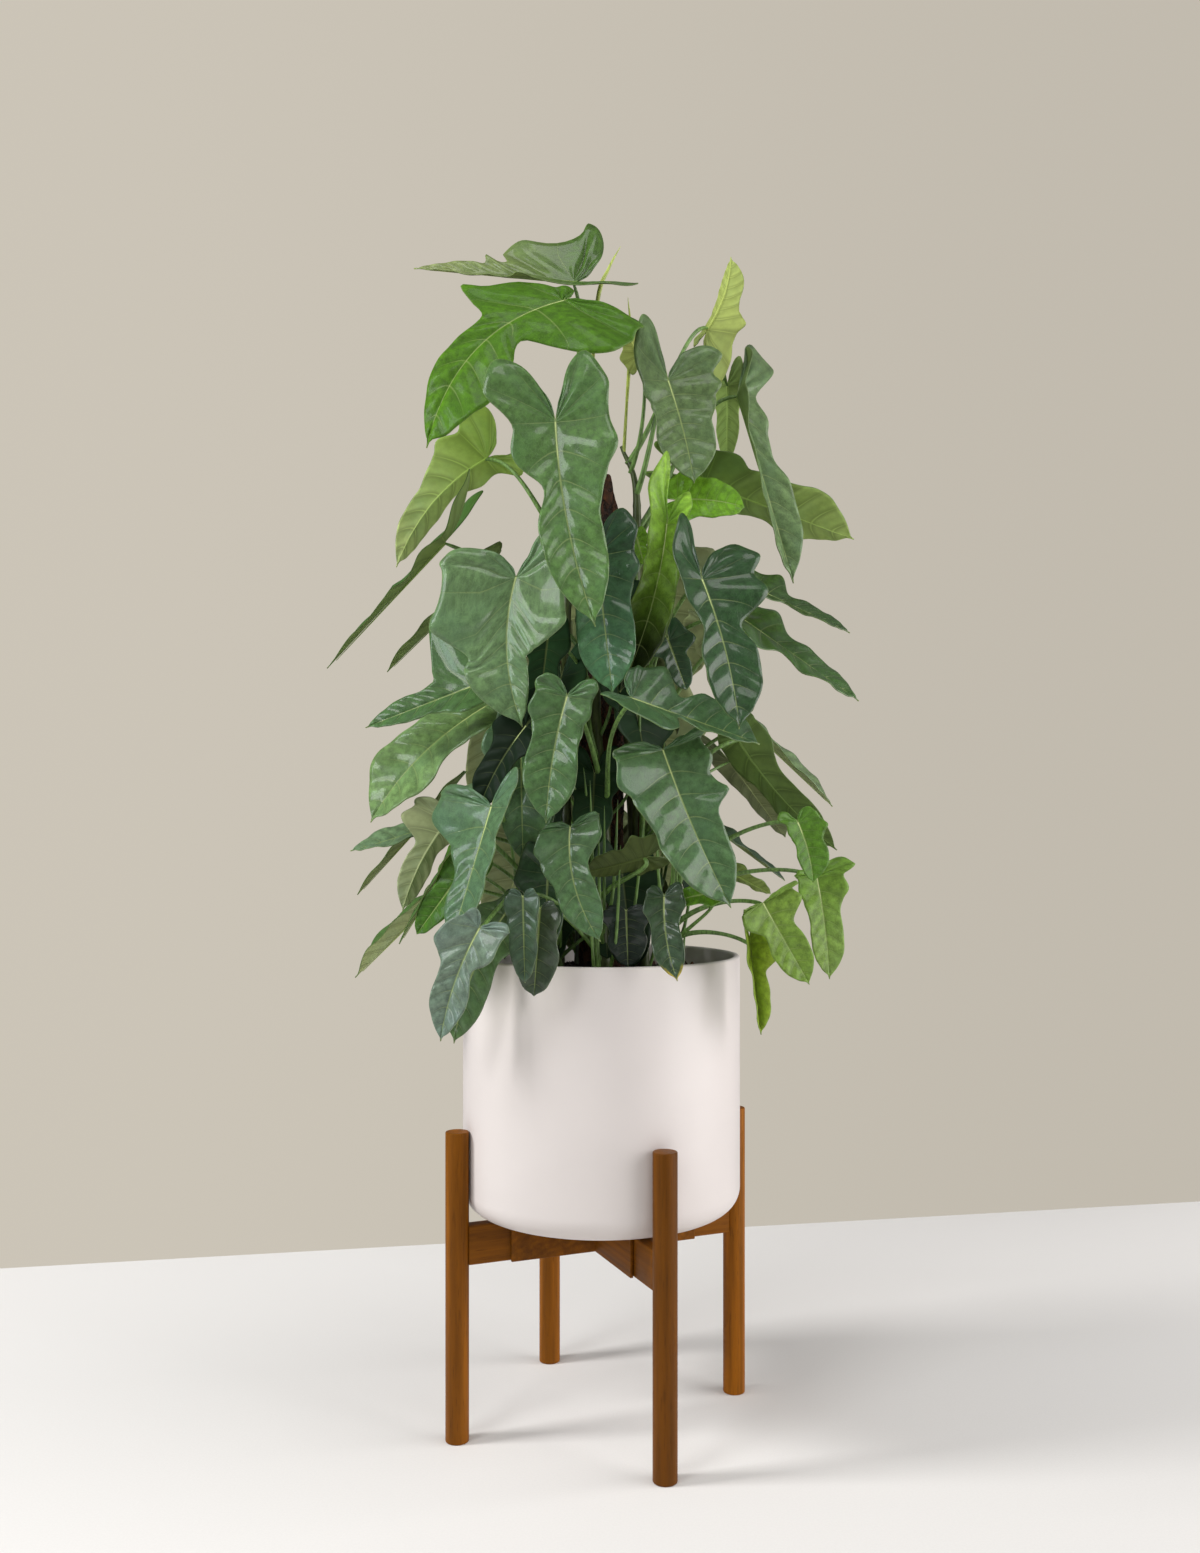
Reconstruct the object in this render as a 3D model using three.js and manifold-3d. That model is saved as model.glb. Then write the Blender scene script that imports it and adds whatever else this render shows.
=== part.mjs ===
// Potted philodendron panduriforme: a climbing aroid on a bark pole, in a white planter
// that rests on a four-legged wooden stand. Millimetres, +Z up, the viewer's side is -Y.

import * as THREE from 'three';
import { mergeVertices } from 'three/addons/utils/BufferGeometryUtils.js';
import Module from 'manifold-3d';

const wasm = await Module();
wasm.setup();

// Driving dimensions
const GAP = 0.3;              // clearance between pieces that touch
const POT_RADIUS = 152.5;     // a 12 inch planter
const POT_BOTTOM = 232.5;
const RIM_HEIGHT = 510.5;
const POT_CORNER = 26;        // radius of the rounded bottom edge
const POT_WALL = 7;
const POT_FLOOR = 9;
const SOIL_EDGE = 484;
const SOIL_MOUND = 12;        // how far the soil rises towards the pole
const POLE_RADIUS = 25;
const POLE_BOTTOM = 262;
const POLE_TOP = 1033;
const LEG_RADIUS = 12.5;
const LEG_LENGTH = 328;
const LEG_CIRCLE = 165.5;     // radius of the circle through the leg centres
const STAND_TURN = -67.6;     // degrees from +X to the front leg
const HUB_HALF = 109;
const HUB_WIDTH = 26;
const HUB_BOTTOM = 186;
const ARM_WIDTH = 18;
const ARM_BOTTOM = 187;
const ARM_TOP = 228;
const ARM_START = 36;         // distance of an arm's inner end from the middle
const TENON = { width: 10, height: 22, depth: 9 };
const BLADE_THICKNESS = 1.1;
const STEM_SIDES = 6;
const PETIOLE_SIDES = 4;

const radians = THREE.MathUtils.degToRad;
const vector = ([x, y, z]) => new THREE.Vector3(x, y, z);
const group = new THREE.Group();

// Joins and cuts
function solidOf(geometry) {
  const plain = geometry.index ? geometry.toNonIndexed() : geometry.clone();
  for (const name of Object.keys(plain.attributes)) {
    if (name !== 'position') plain.deleteAttribute(name);
  }
  const merged = mergeVertices(plain, 1e-4);
  const mesh = new wasm.Mesh({
    numProp: 3,
    vertProperties: new Float32Array(merged.attributes.position.array),
    triVerts: new Uint32Array(merged.index.array),
  });
  mesh.merge();
  return new wasm.Manifold(mesh);
}

function geometryOf(solid) {
  const mesh = solid.getMesh();
  const geometry = new THREE.BufferGeometry();
  geometry.setAttribute('position', new THREE.BufferAttribute(new Float32Array(mesh.vertProperties), 3));
  geometry.setIndex(new THREE.BufferAttribute(new Uint32Array(mesh.triVerts), 1));
  return geometry;
}

function addPiece(name, solid, material) {
  const geometry = geometryOf(solid);
  geometry.computeVertexNormals();
  const mesh = new THREE.Mesh(geometry, material);
  mesh.name = name;
  group.add(mesh);
  return mesh;
}

function box(width, depth, height, at, turn = 0) {
  const geometry = new THREE.BoxGeometry(width, depth, height);
  geometry.translate(...at);
  geometry.rotateZ(turn);
  return solidOf(geometry);
}

// A solid of revolution about +Z from [radius, height] points, bottom to top
function turned(profile, sides, at = [0, 0, 0]) {
  const points = profile.map(([radius, height]) => new THREE.Vector2(radius, height));
  const geometry = new THREE.LatheGeometry(points, sides);
  geometry.rotateX(Math.PI / 2);
  geometry.translate(...at);
  return solidOf(geometry);
}

// A closed tube through points, with a radius at each of them
function tube(points, radii, sides) {
  const positions = [];
  const index = [];
  let across = new THREE.Vector3(1, 0, 0);
  points.forEach((point, i) => {
    const before = points[Math.max(i - 1, 0)];
    const after = points[Math.min(i + 1, points.length - 1)];
    const along = after.clone().sub(before).normalize();
    across.addScaledVector(along, -across.dot(along));
    if (across.length() < 0.2) across = new THREE.Vector3(0, 1, 0).addScaledVector(along, -along.y);
    across.normalize();
    const other = new THREE.Vector3().crossVectors(along, across);
    for (let k = 0; k < sides; k++) {
      const angle = 2 * Math.PI * k / sides;
      const corner = point.clone()
        .addScaledVector(across, radii[i] * Math.cos(angle))
        .addScaledVector(other, radii[i] * Math.sin(angle));
      positions.push(corner.x, corner.y, corner.z);
    }
    across = across.clone();
  });
  for (let i = 0; i < points.length - 1; i++) {
    for (let k = 0; k < sides; k++) {
      const a = i * sides + k;
      const b = i * sides + (k + 1) % sides;
      index.push(a, b, a + sides, b, b + sides, a + sides);
    }
  }
  const last = (points.length - 1) * sides;
  for (let k = 1; k < sides - 1; k++) {
    index.push(0, k + 1, k);
    index.push(last, last + k, last + k + 1);
  }
  const geometry = new THREE.BufferGeometry();
  geometry.setAttribute('position', new THREE.Float32BufferAttribute(positions, 3));
  geometry.setIndex(index);
  return solidOf(geometry);
}

// The same small numbers on each run
function seeded(seed) {
  let state = seed;
  return () => {
    state = (state * 1664525 + 1013904223) % 4294967296;
    return state / 4294967296;
  };
}

// Finishes
const finish = (color, roughness) => new THREE.MeshStandardMaterial({ color, roughness, metalness: 0 });
const CERAMIC = finish(0xe6dfdc, 0.35);
const WOOD = finish(0x8c5c26, 0.45);
const SOIL = finish(0x2a1d14, 1);
const BARK = finish(0x3a2418, 0.95);
const STEM = finish(0x5c7a34, 0.6);
const LEAF_COLOURS = {
  mature: finish(0x466b4a, 0.4),
  dark: finish(0x2c4632, 0.42),
  fresh: finish(0x4f8a2c, 0.42),
  pale: finish(0x8da04f, 0.55),
  grey: finish(0x6b8468, 0.45),
  edged: finish(0x50603a, 0.45),
};

// Planter: a straight cylinder with a rounded bottom edge and a rounded rim
function planter() {
  const inside = POT_RADIUS - POT_WALL;
  const profile = [[0, POT_BOTTOM], [POT_RADIUS - POT_CORNER, POT_BOTTOM]];
  for (let step = 1; step <= 4; step++) {
    const angle = radians(90 * step / 4);
    profile.push([
      POT_RADIUS - POT_CORNER + POT_CORNER * Math.sin(angle),
      POT_BOTTOM + POT_CORNER * (1 - Math.cos(angle)),
    ]);
  }
  const lip = POT_WALL / 2;
  for (let step = 0; step <= 3; step++) {
    const angle = radians(180 * step / 3);
    profile.push([POT_RADIUS - lip + lip * Math.cos(angle), RIM_HEIGHT - lip + lip * Math.sin(angle)]);
  }
  const innerCorner = POT_CORNER - POT_WALL;
  const floorHeight = POT_BOTTOM + POT_FLOOR;
  profile.push([inside, floorHeight + innerCorner]);
  profile.push([inside - innerCorner * 0.3, floorHeight + innerCorner * 0.3]);
  profile.push([inside - innerCorner, floorHeight]);
  profile.push([0, floorHeight]);
  return turned(profile, 40);
}

// Stems: points from the hole in the soil upwards
const STEM_RADIUS = 6.5;
const SHOOT_RADIUS = 7.5;
const STEMS = {
  stem_left: [[-50, -14, 446], [-46, -12, 520], [-39, -20, 640], [-42, -8, 780], [-38, -14, 900],
    [-36, -10, 1010], [-22, -6, 1062]],
  stem_front: [[-6, -54, 446], [-4, -46, 520], [4, -40, 640], [-6, -41, 780], [2, -39, 900], [-4, -38, 1005]],
  stem_right: [[52, -20, 446], [45, -20, 520], [39, -12, 640], [42, -18, 780], [38, -10, 900],
    [38, -12, 1020], [22, -8, 1070]],
  stem_back_left: [[-26, 50, 446], [-24, 44, 520], [-18, 38, 640], [-26, 36, 780], [-18, 38, 900],
    [-20, 34, 1012]],
  stem_back_right: [[34, 46, 446], [32, 40, 520], [36, 30, 640], [28, 36, 780], [34, 30, 900], [30, 32, 985]],
  shoot_left: [[-52, -74, 450], [-56, -78, 510], [-61, -82, 560], [-66, -84, 606]],
  shoot_right: [[62, -66, 450], [66, -70, 510], [72, -74, 560], [78, -76, 606]],
  shoot_front: [[4, -92, 450], [3, -96, 510], [0, -98, 550], [-4, -100, 590]],
  shoot_back: [[4, 92, 450], [3, 96, 505], [0, 99, 530], [-3, 100, 550]],
};
const stemRadius = (name) => name.startsWith('shoot') ? SHOOT_RADIUS : STEM_RADIUS;

function stemPath(name) {
  return new THREE.CatmullRomCurve3(STEMS[name].map(vector));
}

function stemSolid(name, grow) {
  const path = stemPath(name);
  const count = name.startsWith('shoot') ? 4 : 10;
  const points = path.getPoints(count);
  const radii = points.map((_, i) => (stemRadius(name) * (1 - 0.25 * i / count)) + grow);
  return tube(points, radii, STEM_SIDES);
}

// The point of a stem at a height
function onStem(name, height) {
  const points = STEMS[name];
  for (let i = 1; i < points.length; i++) {
    if (height <= points[i][2] || i === points.length - 1) {
      const t = (height - points[i - 1][2]) / (points[i][2] - points[i - 1][2]);
      return vector(points[i - 1]).lerp(vector(points[i]), Math.min(t, 1));
    }
  }
  return vector(points[points.length - 1]);
}

// Half of a fiddle-shaped outline: across and along as parts of the midrib's length,
// and the foot on the midrib of the vein that ends there
const OUTLINE = [
  [0.045, -0.16, 0], [0.15, -0.33, 0], [0.27, -0.37, 0], [0.36, -0.20, 0], [0.375, 0.00, 0],
  [0.42, 0.14, 0.06], [0.32, 0.24, 0.14], [0.235, 0.35, 0.24], [0.26, 0.56, 0.43],
  [0.235, 0.74, 0.62], [0.14, 0.90, 0.82],
];
const SMALL_OUTLINE = [
  [0.12, -0.30, 0], [0.29, -0.36, 0], [0.38, -0.05, 0], [0.42, 0.14, 0.06], [0.25, 0.33, 0.2],
  [0.26, 0.58, 0.43], [0.15, 0.88, 0.8],
];

// A shape value of one side of the blade: "l" is left and "r" is right of the midrib
const pick = (shape, key, side, usual) => shape[key + (side > 0 ? 'r' : 'l')] ?? shape[key] ?? usual;

function along(stops, v) {
  if (v <= stops[0][0]) return stops[0][1];
  for (let i = 1; i < stops.length; i++) {
    if (v <= stops[i][0]) {
      return THREE.MathUtils.mapLinear(v, stops[i - 1][0], stops[i][0], stops[i - 1][1], stops[i][1]);
    }
  }
  return stops[stops.length - 1][1];
}

// Width of the basal lobes, side lobes, waist and body along the midrib
function widthAt(shape, side, v) {
  const lobe = pick(shape, 'lobe', side, 1);
  const ear = pick(shape, 'ear', side, 1);
  const body = pick(shape, 'body', side, 1);
  const waist = pick(shape, 'waist', side, body);
  return along([[-0.2, lobe], [0.05, ear], [0.2, ear], [0.33, waist], [0.5, body]], v);
}

function leafFrame(base, tip, facing) {
  const along = vector(tip).sub(vector(base));
  const length = along.length();
  along.normalize();
  const up = vector(facing);
  up.addScaledVector(along, -up.dot(along)).normalize();
  const across = new THREE.Vector3().crossVectors(up, along);
  return { base: vector(base), along, up, across, length };
}

// A point of the blade: u across, v along, both as parts of the length
function bladePoint(frame, shape, u, v) {
  const { arch = 0, bend = 0, cup = 0, twist = 0, wave = 0.012 } = shape;
  const side = Math.sign(u) || 1;
  const fold = radians(pick(shape, 'fold', side, 12));
  const slip = pick(shape, 'slip', side, 0);
  const lean = Math.max(-v, 0) * pick(shape, 'lean', side, 0);
  const a = Math.abs(u) * widthAt(shape, side, v);
  const ripple = wave * Math.sin(19 * v + 2.1 * side + 3) * Math.min(1, a / 0.2);
  const rise = a * Math.sin(fold) + cup * a * a + ripple;
  const out = side * (a * Math.cos(fold) + lean);
  const turn = radians(twist) * v;
  const x = out * Math.cos(turn) - rise * Math.sin(turn);
  const y = out * Math.sin(turn) + rise * Math.cos(turn);
  const edge = Math.min(1, a / 0.2);
  let reach = v < 0 ? v * pick(shape, 'back', side, 1) : v;
  reach += slip * edge * along([[-0.1, 0], [0.1, 1], [0.3, 1], [0.7, 0]], v);
  const bow = 4 * reach * (1 - reach);
  const raised = v < 0 ? pick(shape, 'lift', side, 0) * v * v * 10 : 0;
  return frame.base.clone()
    .addScaledVector(frame.along, reach * frame.length)
    .addScaledVector(frame.across, (x + bend * Math.max(bow, -0.6)) * frame.length)
    .addScaledVector(frame.up, (y + arch * Math.max(bow, -1.2) + raised) * frame.length);
}

function bladeNormal(frame, shape, u, v) {
  const step = 0.004;
  const du = bladePoint(frame, shape, u + step, v).sub(bladePoint(frame, shape, u - step, v));
  const dv = bladePoint(frame, shape, u, v + step).sub(bladePoint(frame, shape, u, v - step));
  return dv.cross(du).normalize();
}

// Both faces are split alike, and a rim joins them
function blade(frame, shape, outline) {
  const flat = [[0, 0]];
  const midrib = [0];
  outline.forEach(([, , foot], i) => {
    if (foot > 0) {
      midrib[i + 1] = flat.length;
      flat.push([0, foot]);
    } else {
      midrib[i + 1] = 0;
    }
  });
  const tip = flat.length;
  flat.push([0, 1]);
  const faces = [];
  const loops = [];
  for (const side of [1, -1]) {
    const edge = [0];
    outline.forEach(([u, v]) => {
      edge.push(flat.length);
      flat.push([side * u, v]);
    });
    edge.push(tip);
    for (let i = 1; i < edge.length; i++) {
      const footBefore = midrib[i - 1] ?? 0;
      const foot = i < edge.length - 1 ? midrib[i] : tip;
      const before = edge[i - 1];
      const after = edge[i];
      if (before !== footBefore && after !== footBefore) faces.push([footBefore, before, after, side]);
      if (foot !== footBefore && foot !== after) faces.push([footBefore, after, foot, side]);
    }
    loops.push([edge, side]);
  }
  const positions = [];
  for (const face of [1, -1]) {
    for (const [u, v] of flat) {
      const normal = bladeNormal(frame, shape, u, v);
      const point = bladePoint(frame, shape, u, v).addScaledVector(normal, face * BLADE_THICKNESS / 2);
      positions.push(point.x, point.y, point.z);
    }
  }
  const under = flat.length;
  const index = [];
  for (const [a, b, c, side] of faces) {
    if (side > 0) index.push(a, c, b, under + a, under + b, under + c);
    else index.push(a, b, c, under + a, under + c, under + b);
  }
  for (const [edge, side] of loops) {
    for (let i = 1; i < edge.length; i++) {
      const p = edge[i - 1];
      const q = edge[i];
      if (side > 0) index.push(p, q, under + q, p, under + q, under + p);
      else index.push(q, p, under + p, q, under + p, under + q);
    }
  }
  const geometry = new THREE.BufferGeometry();
  geometry.setAttribute('position', new THREE.Float32BufferAttribute(positions, 3));
  geometry.setIndex(index);
  return solidOf(geometry);
}

// The petiole leaves its stem upwards and comes to the blade from behind
function petiole(stem, rootHeight, frame, shape, thick, steps) {
  const root = onStem(stem, rootHeight);
  const reach = frame.base.clone().sub(root);
  const length = reach.length();
  const outward = new THREE.Vector3(reach.x, reach.y, 0).normalize();
  outward.applyAxisAngle(new THREE.Vector3(0, 0, 1), radians(shape.swing ?? 0));
  const rise = shape.rise ?? 0.8;
  const start = outward.multiplyScalar(1 - 0.5 * rise).add(new THREE.Vector3(0, 0, rise)).normalize();
  const end = frame.up.clone().multiplyScalar(0.8).addScaledVector(frame.along, 0.35).normalize();
  const curve = new THREE.CubicBezierCurve3(
    root,
    root.clone().addScaledVector(start, length * (shape.sway ?? 0.38)),
    frame.base.clone().addScaledVector(end, -length * (shape.hook ?? 0.33)),
    frame.base.clone().addScaledVector(end, 0.2),
  );
  const points = curve.getPoints(steps);
  const radii = points.map((_, i) => thick * (1.25 - 0.45 * Math.min(1, 1.6 * i / steps)));
  return tube(points, radii, PETIOLE_SIDES);
}

// Large leaves, one piece each: name, stem, height of the petiole's root, junction of
// petiole and blade, tip of the blade, the way its upper face looks, colour, shape
const LEAVES = [
  ["leaf_crown", "stem_left", 1030, [-29, -20, 1247], [-202, -40, 1254], [0, -0.707, 0.707], "mature",
    {"fold": 23, "liftr": 0.03, "backl": 0.5, "lobel": 1.35, "earl": 0.5, "slip": 0.25, "waistl": 0.45,
      "earr": 0.5, "lober": 0.7, "bodyr": 0.5, "waistr": 0.5, "bodyl": 0.45}],
  ["leaf_fresh_top", "stem_front", 985, [-40, -70, 1207], [-179, -120, 1037], [-0.2, -0.85, 0.45], "fresh",
    {"arch": 0.1, "bend": -0.09, "lobel": 0.3, "lober": 0.95, "backl": 0.25, "backr": 0.45,
      "earl": 0.55, "earr": 0.95, "slipl": 0.09, "waistl": 0.42, "waistr": 0.85, "bodyl": 0.45,
      "bodyr": 0.85}],
  ["leaf_front_top", "stem_front", 905, [-46, -150, 1054], [-6, -185, 845], [0.05, -0.95, 0.3], "mature",
    {"lobel": 0.95, "lober": 0.8, "back": 0.85, "earl": 0.52, "earr": 0.68, "waistl": 0.36,
      "waistr": 0.8, "bodyl": 0.56, "bodyr": 0.6, "bend": -0.035, "slipr": 0.04}],
  ["leaf_left_top", "stem_left", 950, [-131, 35, 1069], [-233, 35, 946], [-0.5, 0.75, 0.4], "pale",
    {"bend": 0.1, "lober": 1.15, "backr": 0.7, "lobel": 0.8, "backl": 0.6, "earr": 0.7, "earl": 0.45,
      "waistl": 0.45, "waistr": 0.8, "body": 0.5}],
  ["leaf_left_fold", "stem_left", 870, [-171, -20, 963], [-301, -15, 825], [-0.72, 0, 0.69], "mature",
    {"fold": 14, "liftr": 0.1, "ear": 0.45, "body": 0.5, "lobe": 0.6}],
  ["leaf_left_broad", "stem_left", 800, [-86, -140, 901], [-78, -165, 749], [-0.05, -0.95, 0.25], "mature",
    {"bend": -0.08, "lobel": 1.45, "backl": 0.55, "lober": 0.8, "backr": 0.8, "earl": 1.2, "earr": 0.95,
      "slip": 0.2, "waistl": 1.05, "waistr": 0.75, "bodyl": 1.1, "bodyr": 0.5}],
  ["leaf_left_mid", "stem_left", 715, [-116, -100, 803], [-245, -95, 754], [-0.3, -0.85, 0.4], "mature",
    {"lobel": 1.7, "backl": 0.4, "earl": 1.65, "lober": 0.4, "earr": 0.6, "slip": 0.1, "waist": 0.6,
      "body": 0.45, "backr": 0.4}],
  ["leaf_left_low", "stem_left", 650, [-123, -70, 778], [-239, -100, 656], [-0.35, -0.8, 0.45], "mature",
    {"bend": -0.09, "body": 0.88, "waist": 0.8, "earr": 0.6, "earl": 0.7, "lobe": 0.6, "back": 0.5}],
  ["leaf_left_dark", "stem_left", 690, [-83, -10, 763], [-138, -5, 667], [-0.3, -0.9, 0.2], "dark",
    {"body": 0.73, "ear": 0.7, "bend": -0.05, "lobe": 0.6}],
  ["leaf_front_mid", "stem_front", 690, [-34, -172, 778], [-54, -187, 654], [-0.05, -0.97, 0.2], "mature",
    {"lobel": 0.75, "lober": 0.65, "back": 0.42, "earl": 0.65, "earr": 0.55, "waist": 0.8, "body": 0.83,
      "bend": -0.03}],
  ["leaf_low_left", "shoot_left", 592, [-109, -165, 670], [-148, -195, 530], [-0.62, -0.72, 0.25], "mature",
    {"lobel": 1.2, "backl": 0.3, "lober": 0.6, "backr": 0.75, "earl": 1.1, "earr": 0.5, "waist": 0.85,
      "bodyl": 0.5, "bodyr": 0.7, "swing": -35, "sway": 0.6, "hook": 0.15}],
  ["leaf_low_mid", "stem_front", 640, [-82, -130, 748], [-77, -158, 615], [-0.1, -0.97, 0.2], "dark",
    {"lobe": 0.5, "back": 0.5, "ear": 0.7, "bodyl": 0.6}],
  ["leaf_low_front", "shoot_front", 560, [-31, -165, 650], [-1, -185, 539], [-0.05, -0.97, 0.2], "mature",
    {"back": 0.2, "lobe": 0.7, "earr": 0.7, "earl": 0.75, "waistl": 1, "waistr": 0.65, "body": 0.68,
      "bend": -0.09}],
  ["leaf_far_left", "stem_left", 600, [-160, -40, 663], [-268, -55, 626], [-0.3, -0.5, 0.8], "mature",
    {"bend": 0.05, "body": 0.7, "waist": 0.5, "ear": 0.5}],
  ["leaf_low_left_pale", "shoot_left", 577, [-161, -90, 656], [-206, -100, 564], [-0.4, 0.85, 0.3], "pale",
    {"bend": 0.06, "body": 0.6, "earl": 0.5, "lobel": 0.5, "lober": 1.1, "backr": 0.4}],
  ["leaf_trailing_left", "shoot_left", 548, [-159, -60, 594], [-262, -60, 491], [-0.7, -0.1, 0.7], "pale",
    {"fold": 35, "body": 0.7, "lobe": 0.4, "ear": 0.4, "back": 0.4}],
  ["leaf_rim_left", "shoot_left", 575, [-116, -212, 554], [-153, -215, 447], [-0.2, -0.95, 0.25], "mature",
    {"lober": 0.75, "backr": 0.3, "lobel": 0.5, "backl": 0.4, "earr": 0.65, "earl": 0.75, "waistr": 0.5,
      "waistl": 0.7, "body": 0.65, "bend": -0.05, "slip": 0.06, "hook": 0.15}],
  ["leaf_rim_left_back", "shoot_front", 550, [-98, -132, 562], [-148, -140, 433], [0.2, -0.95, 0.2], "mature",
    {"ear": 0.6, "body": 0.62, "lobe": 0.6, "back": 0.5, "lobel": 0.3, "lober": 0.6, "bend": -0.06}],
  ["leaf_rim_right", "shoot_right", 500, [62, -155, 581], [74, -178, 500], [0, -0.97, 0.2], "edged",
    {"bend": -0.05, "body": 0.72, "ear": 0.62, "lobe": 0.6, "back": 0.4}],
  ["leaf_centre_pale", "shoot_front", 575, [44, -140, 620], [-17, -140, 605], [-0.1, 0.8, 0.6], "pale",
    {}],
  ["leaf_top_right", "stem_right", 1015, [71, -60, 1125], [97, -85, 1010], [0.15, -0.95, 0.3], "grey",
    {"lobel": 0.85, "leanl": -0.35, "backl": 1.75, "lober": 1.45, "backr": 0.7, "earl": 0.7, "earr": 1.05,
      "waistl": 1, "waistr": 1.4, "body": 1.02, "bend": 0.02}],
  ["leaf_top_pale", "stem_right", 1050, [118, 5, 1203], [145, 15, 1288], [0.5, 0.85, 0.1], "pale",
    {"bend": 0.08, "bodyr": 0.8, "bodyl": 0.4, "lober": 1.1, "leanr": 0.3, "backr": 1.9, "lobel": 0.3,
      "backl": 0.6, "earr": 1, "earl": 0.2, "waistr": 1, "waistl": 0.4}],
  ["leaf_right_hanging", "stem_right", 975, [151, -10, 1127], [209, -30, 916], [0.75, -0.6, 0.25], "grey",
    {"foldl": 80, "foldr": 20, "body": 0.7, "ear": 0.55, "backl": 0.5, "backr": 0.6, "lober": 1.15,
      "lobel": 0.9}],
  ["leaf_right_far", "stem_back_right", 940, [118, 50, 1046], [291, 60, 984], [0.15, 0.35, 0.93], "pale",
    {"fold": 10, "ear": 0.7, "lobe": 0.7}],
  ["leaf_centre_dark", "stem_front", 830, [-5, -120, 927], [11, -145, 783], [0, -0.97, 0.2], "dark",
    {"lobe": 0.85, "back": 0.85, "ear": 0.7, "waist": 0.85, "body": 0.8}],
  ["leaf_centre_fold", "stem_right", 860, [68, -90, 966], [19, -120, 788], [0.1, -0.95, 0.3], "fresh",
    {"fold": 45, "lobe": 0.5, "ear": 0.35, "waist": 0.6, "body": 0.66, "bend": 0.04}],
  ["leaf_right_front", "stem_right", 790, [101, -140, 899], [133, -195, 745], [0.3, -0.9, 0.25], "dark",
    {"lobel": 0.55, "leanl": -0.3, "backl": 1.2, "lober": 1.1, "backr": 0.6, "earl": 0.38, "earr": 0.85,
      "waistl": 0.5, "waistr": 0.75, "bodyl": 0.7, "bodyr": 0.85, "bend": 0.035}],
  ["leaf_right_thin", "stem_back_right", 820, [162, -66, 904], [261, -78, 855], [0.35, -0.5, 0.8], "mature",
    {"body": 0.7, "lobe": 0.7}],
  ["leaf_right_mid", "stem_right", 735, [152, -60, 871], [273, -65, 785], [0.5, -0.5, 0.7], "mature",
    {"fold": 6, "body": 0.8, "backl": 0.45, "backr": 0.45, "lobe": 0.8}],
  ["leaf_front_right", "stem_front", 650, [30, -168, 777], [155, -172, 732], [0, -0.6, 0.8], "mature",
    {"fold": 15, "lober": 0.9, "backr": 0.3, "earr": 0.95, "slipl": 0.18, "waistr": 0.8, "bodyr": 1.1,
      "earl": 0.85, "waistl": 0.5, "bodyl": 0.45, "lobel": 0.5, "backl": 0.6}],
  ["leaf_front_low", "stem_right", 600, [61, -153, 727], [126, -185, 572], [0.25, -0.93, 0.25], "mature",
    {"backl": 0.25, "backr": 0.1, "lobe": 0.9, "earl": 0.9, "earr": 0.75, "waist": 0.85, "body": 0.7,
      "bend": -0.05}],
  ["leaf_right_low", "stem_right", 660, [158, -15, 766], [253, -20, 674], [0.65, -0.2, 0.72], "mature",
    {"lobe": 0.7, "ear": 0.8}],
  ["leaf_right_low_pale", "stem_right", 630, [143, -80, 743], [247, -80, 627], [0.5, 0.75, 0.4], "pale",
    {"bend": 0.05, "body": 0.5, "ear": 0.5, "lobe": 0.5, "back": 0.3}],
  ["leaf_fresh_a", "shoot_right", 590, [199, -125, 655], [214, -130, 594], [0.3, -0.9, 0.3], "fresh",
    {"bend": 0.05, "earr": 1.1, "bodyr": 1.3, "bodyl": 0.9, "ear": 0.7, "back": 0.6}],
  ["leaf_fresh_b", "shoot_right", 563, [223, -95, 599], [235, -105, 494], [0.2, -0.95, 0.2], "fresh",
    {"lober": 1.1, "backr": 0.45, "lobel": 0.7, "backl": 0.2, "earr": 0.68, "earl": 0.55, "waist": 0.75,
      "body": 0.68, "bend": 0.02}],
  ["leaf_fresh_c", "shoot_right", 537, [162, -140, 574], [208, -145, 493], [0.2, -0.95, 0.2], "fresh",
    {"lober": 1.2, "back": 0.1, "earr": 0.95, "earl": 0.85, "lobel": 0.7, "body": 0.84}],
  ["leaf_fresh_fold", "shoot_right", 524, [154, -95, 530], [165, -100, 436], [0.3, -0.9, 0.2], "fresh",
    {"foldl": 60, "foldr": 68, "body": 0.8}],
];

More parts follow.
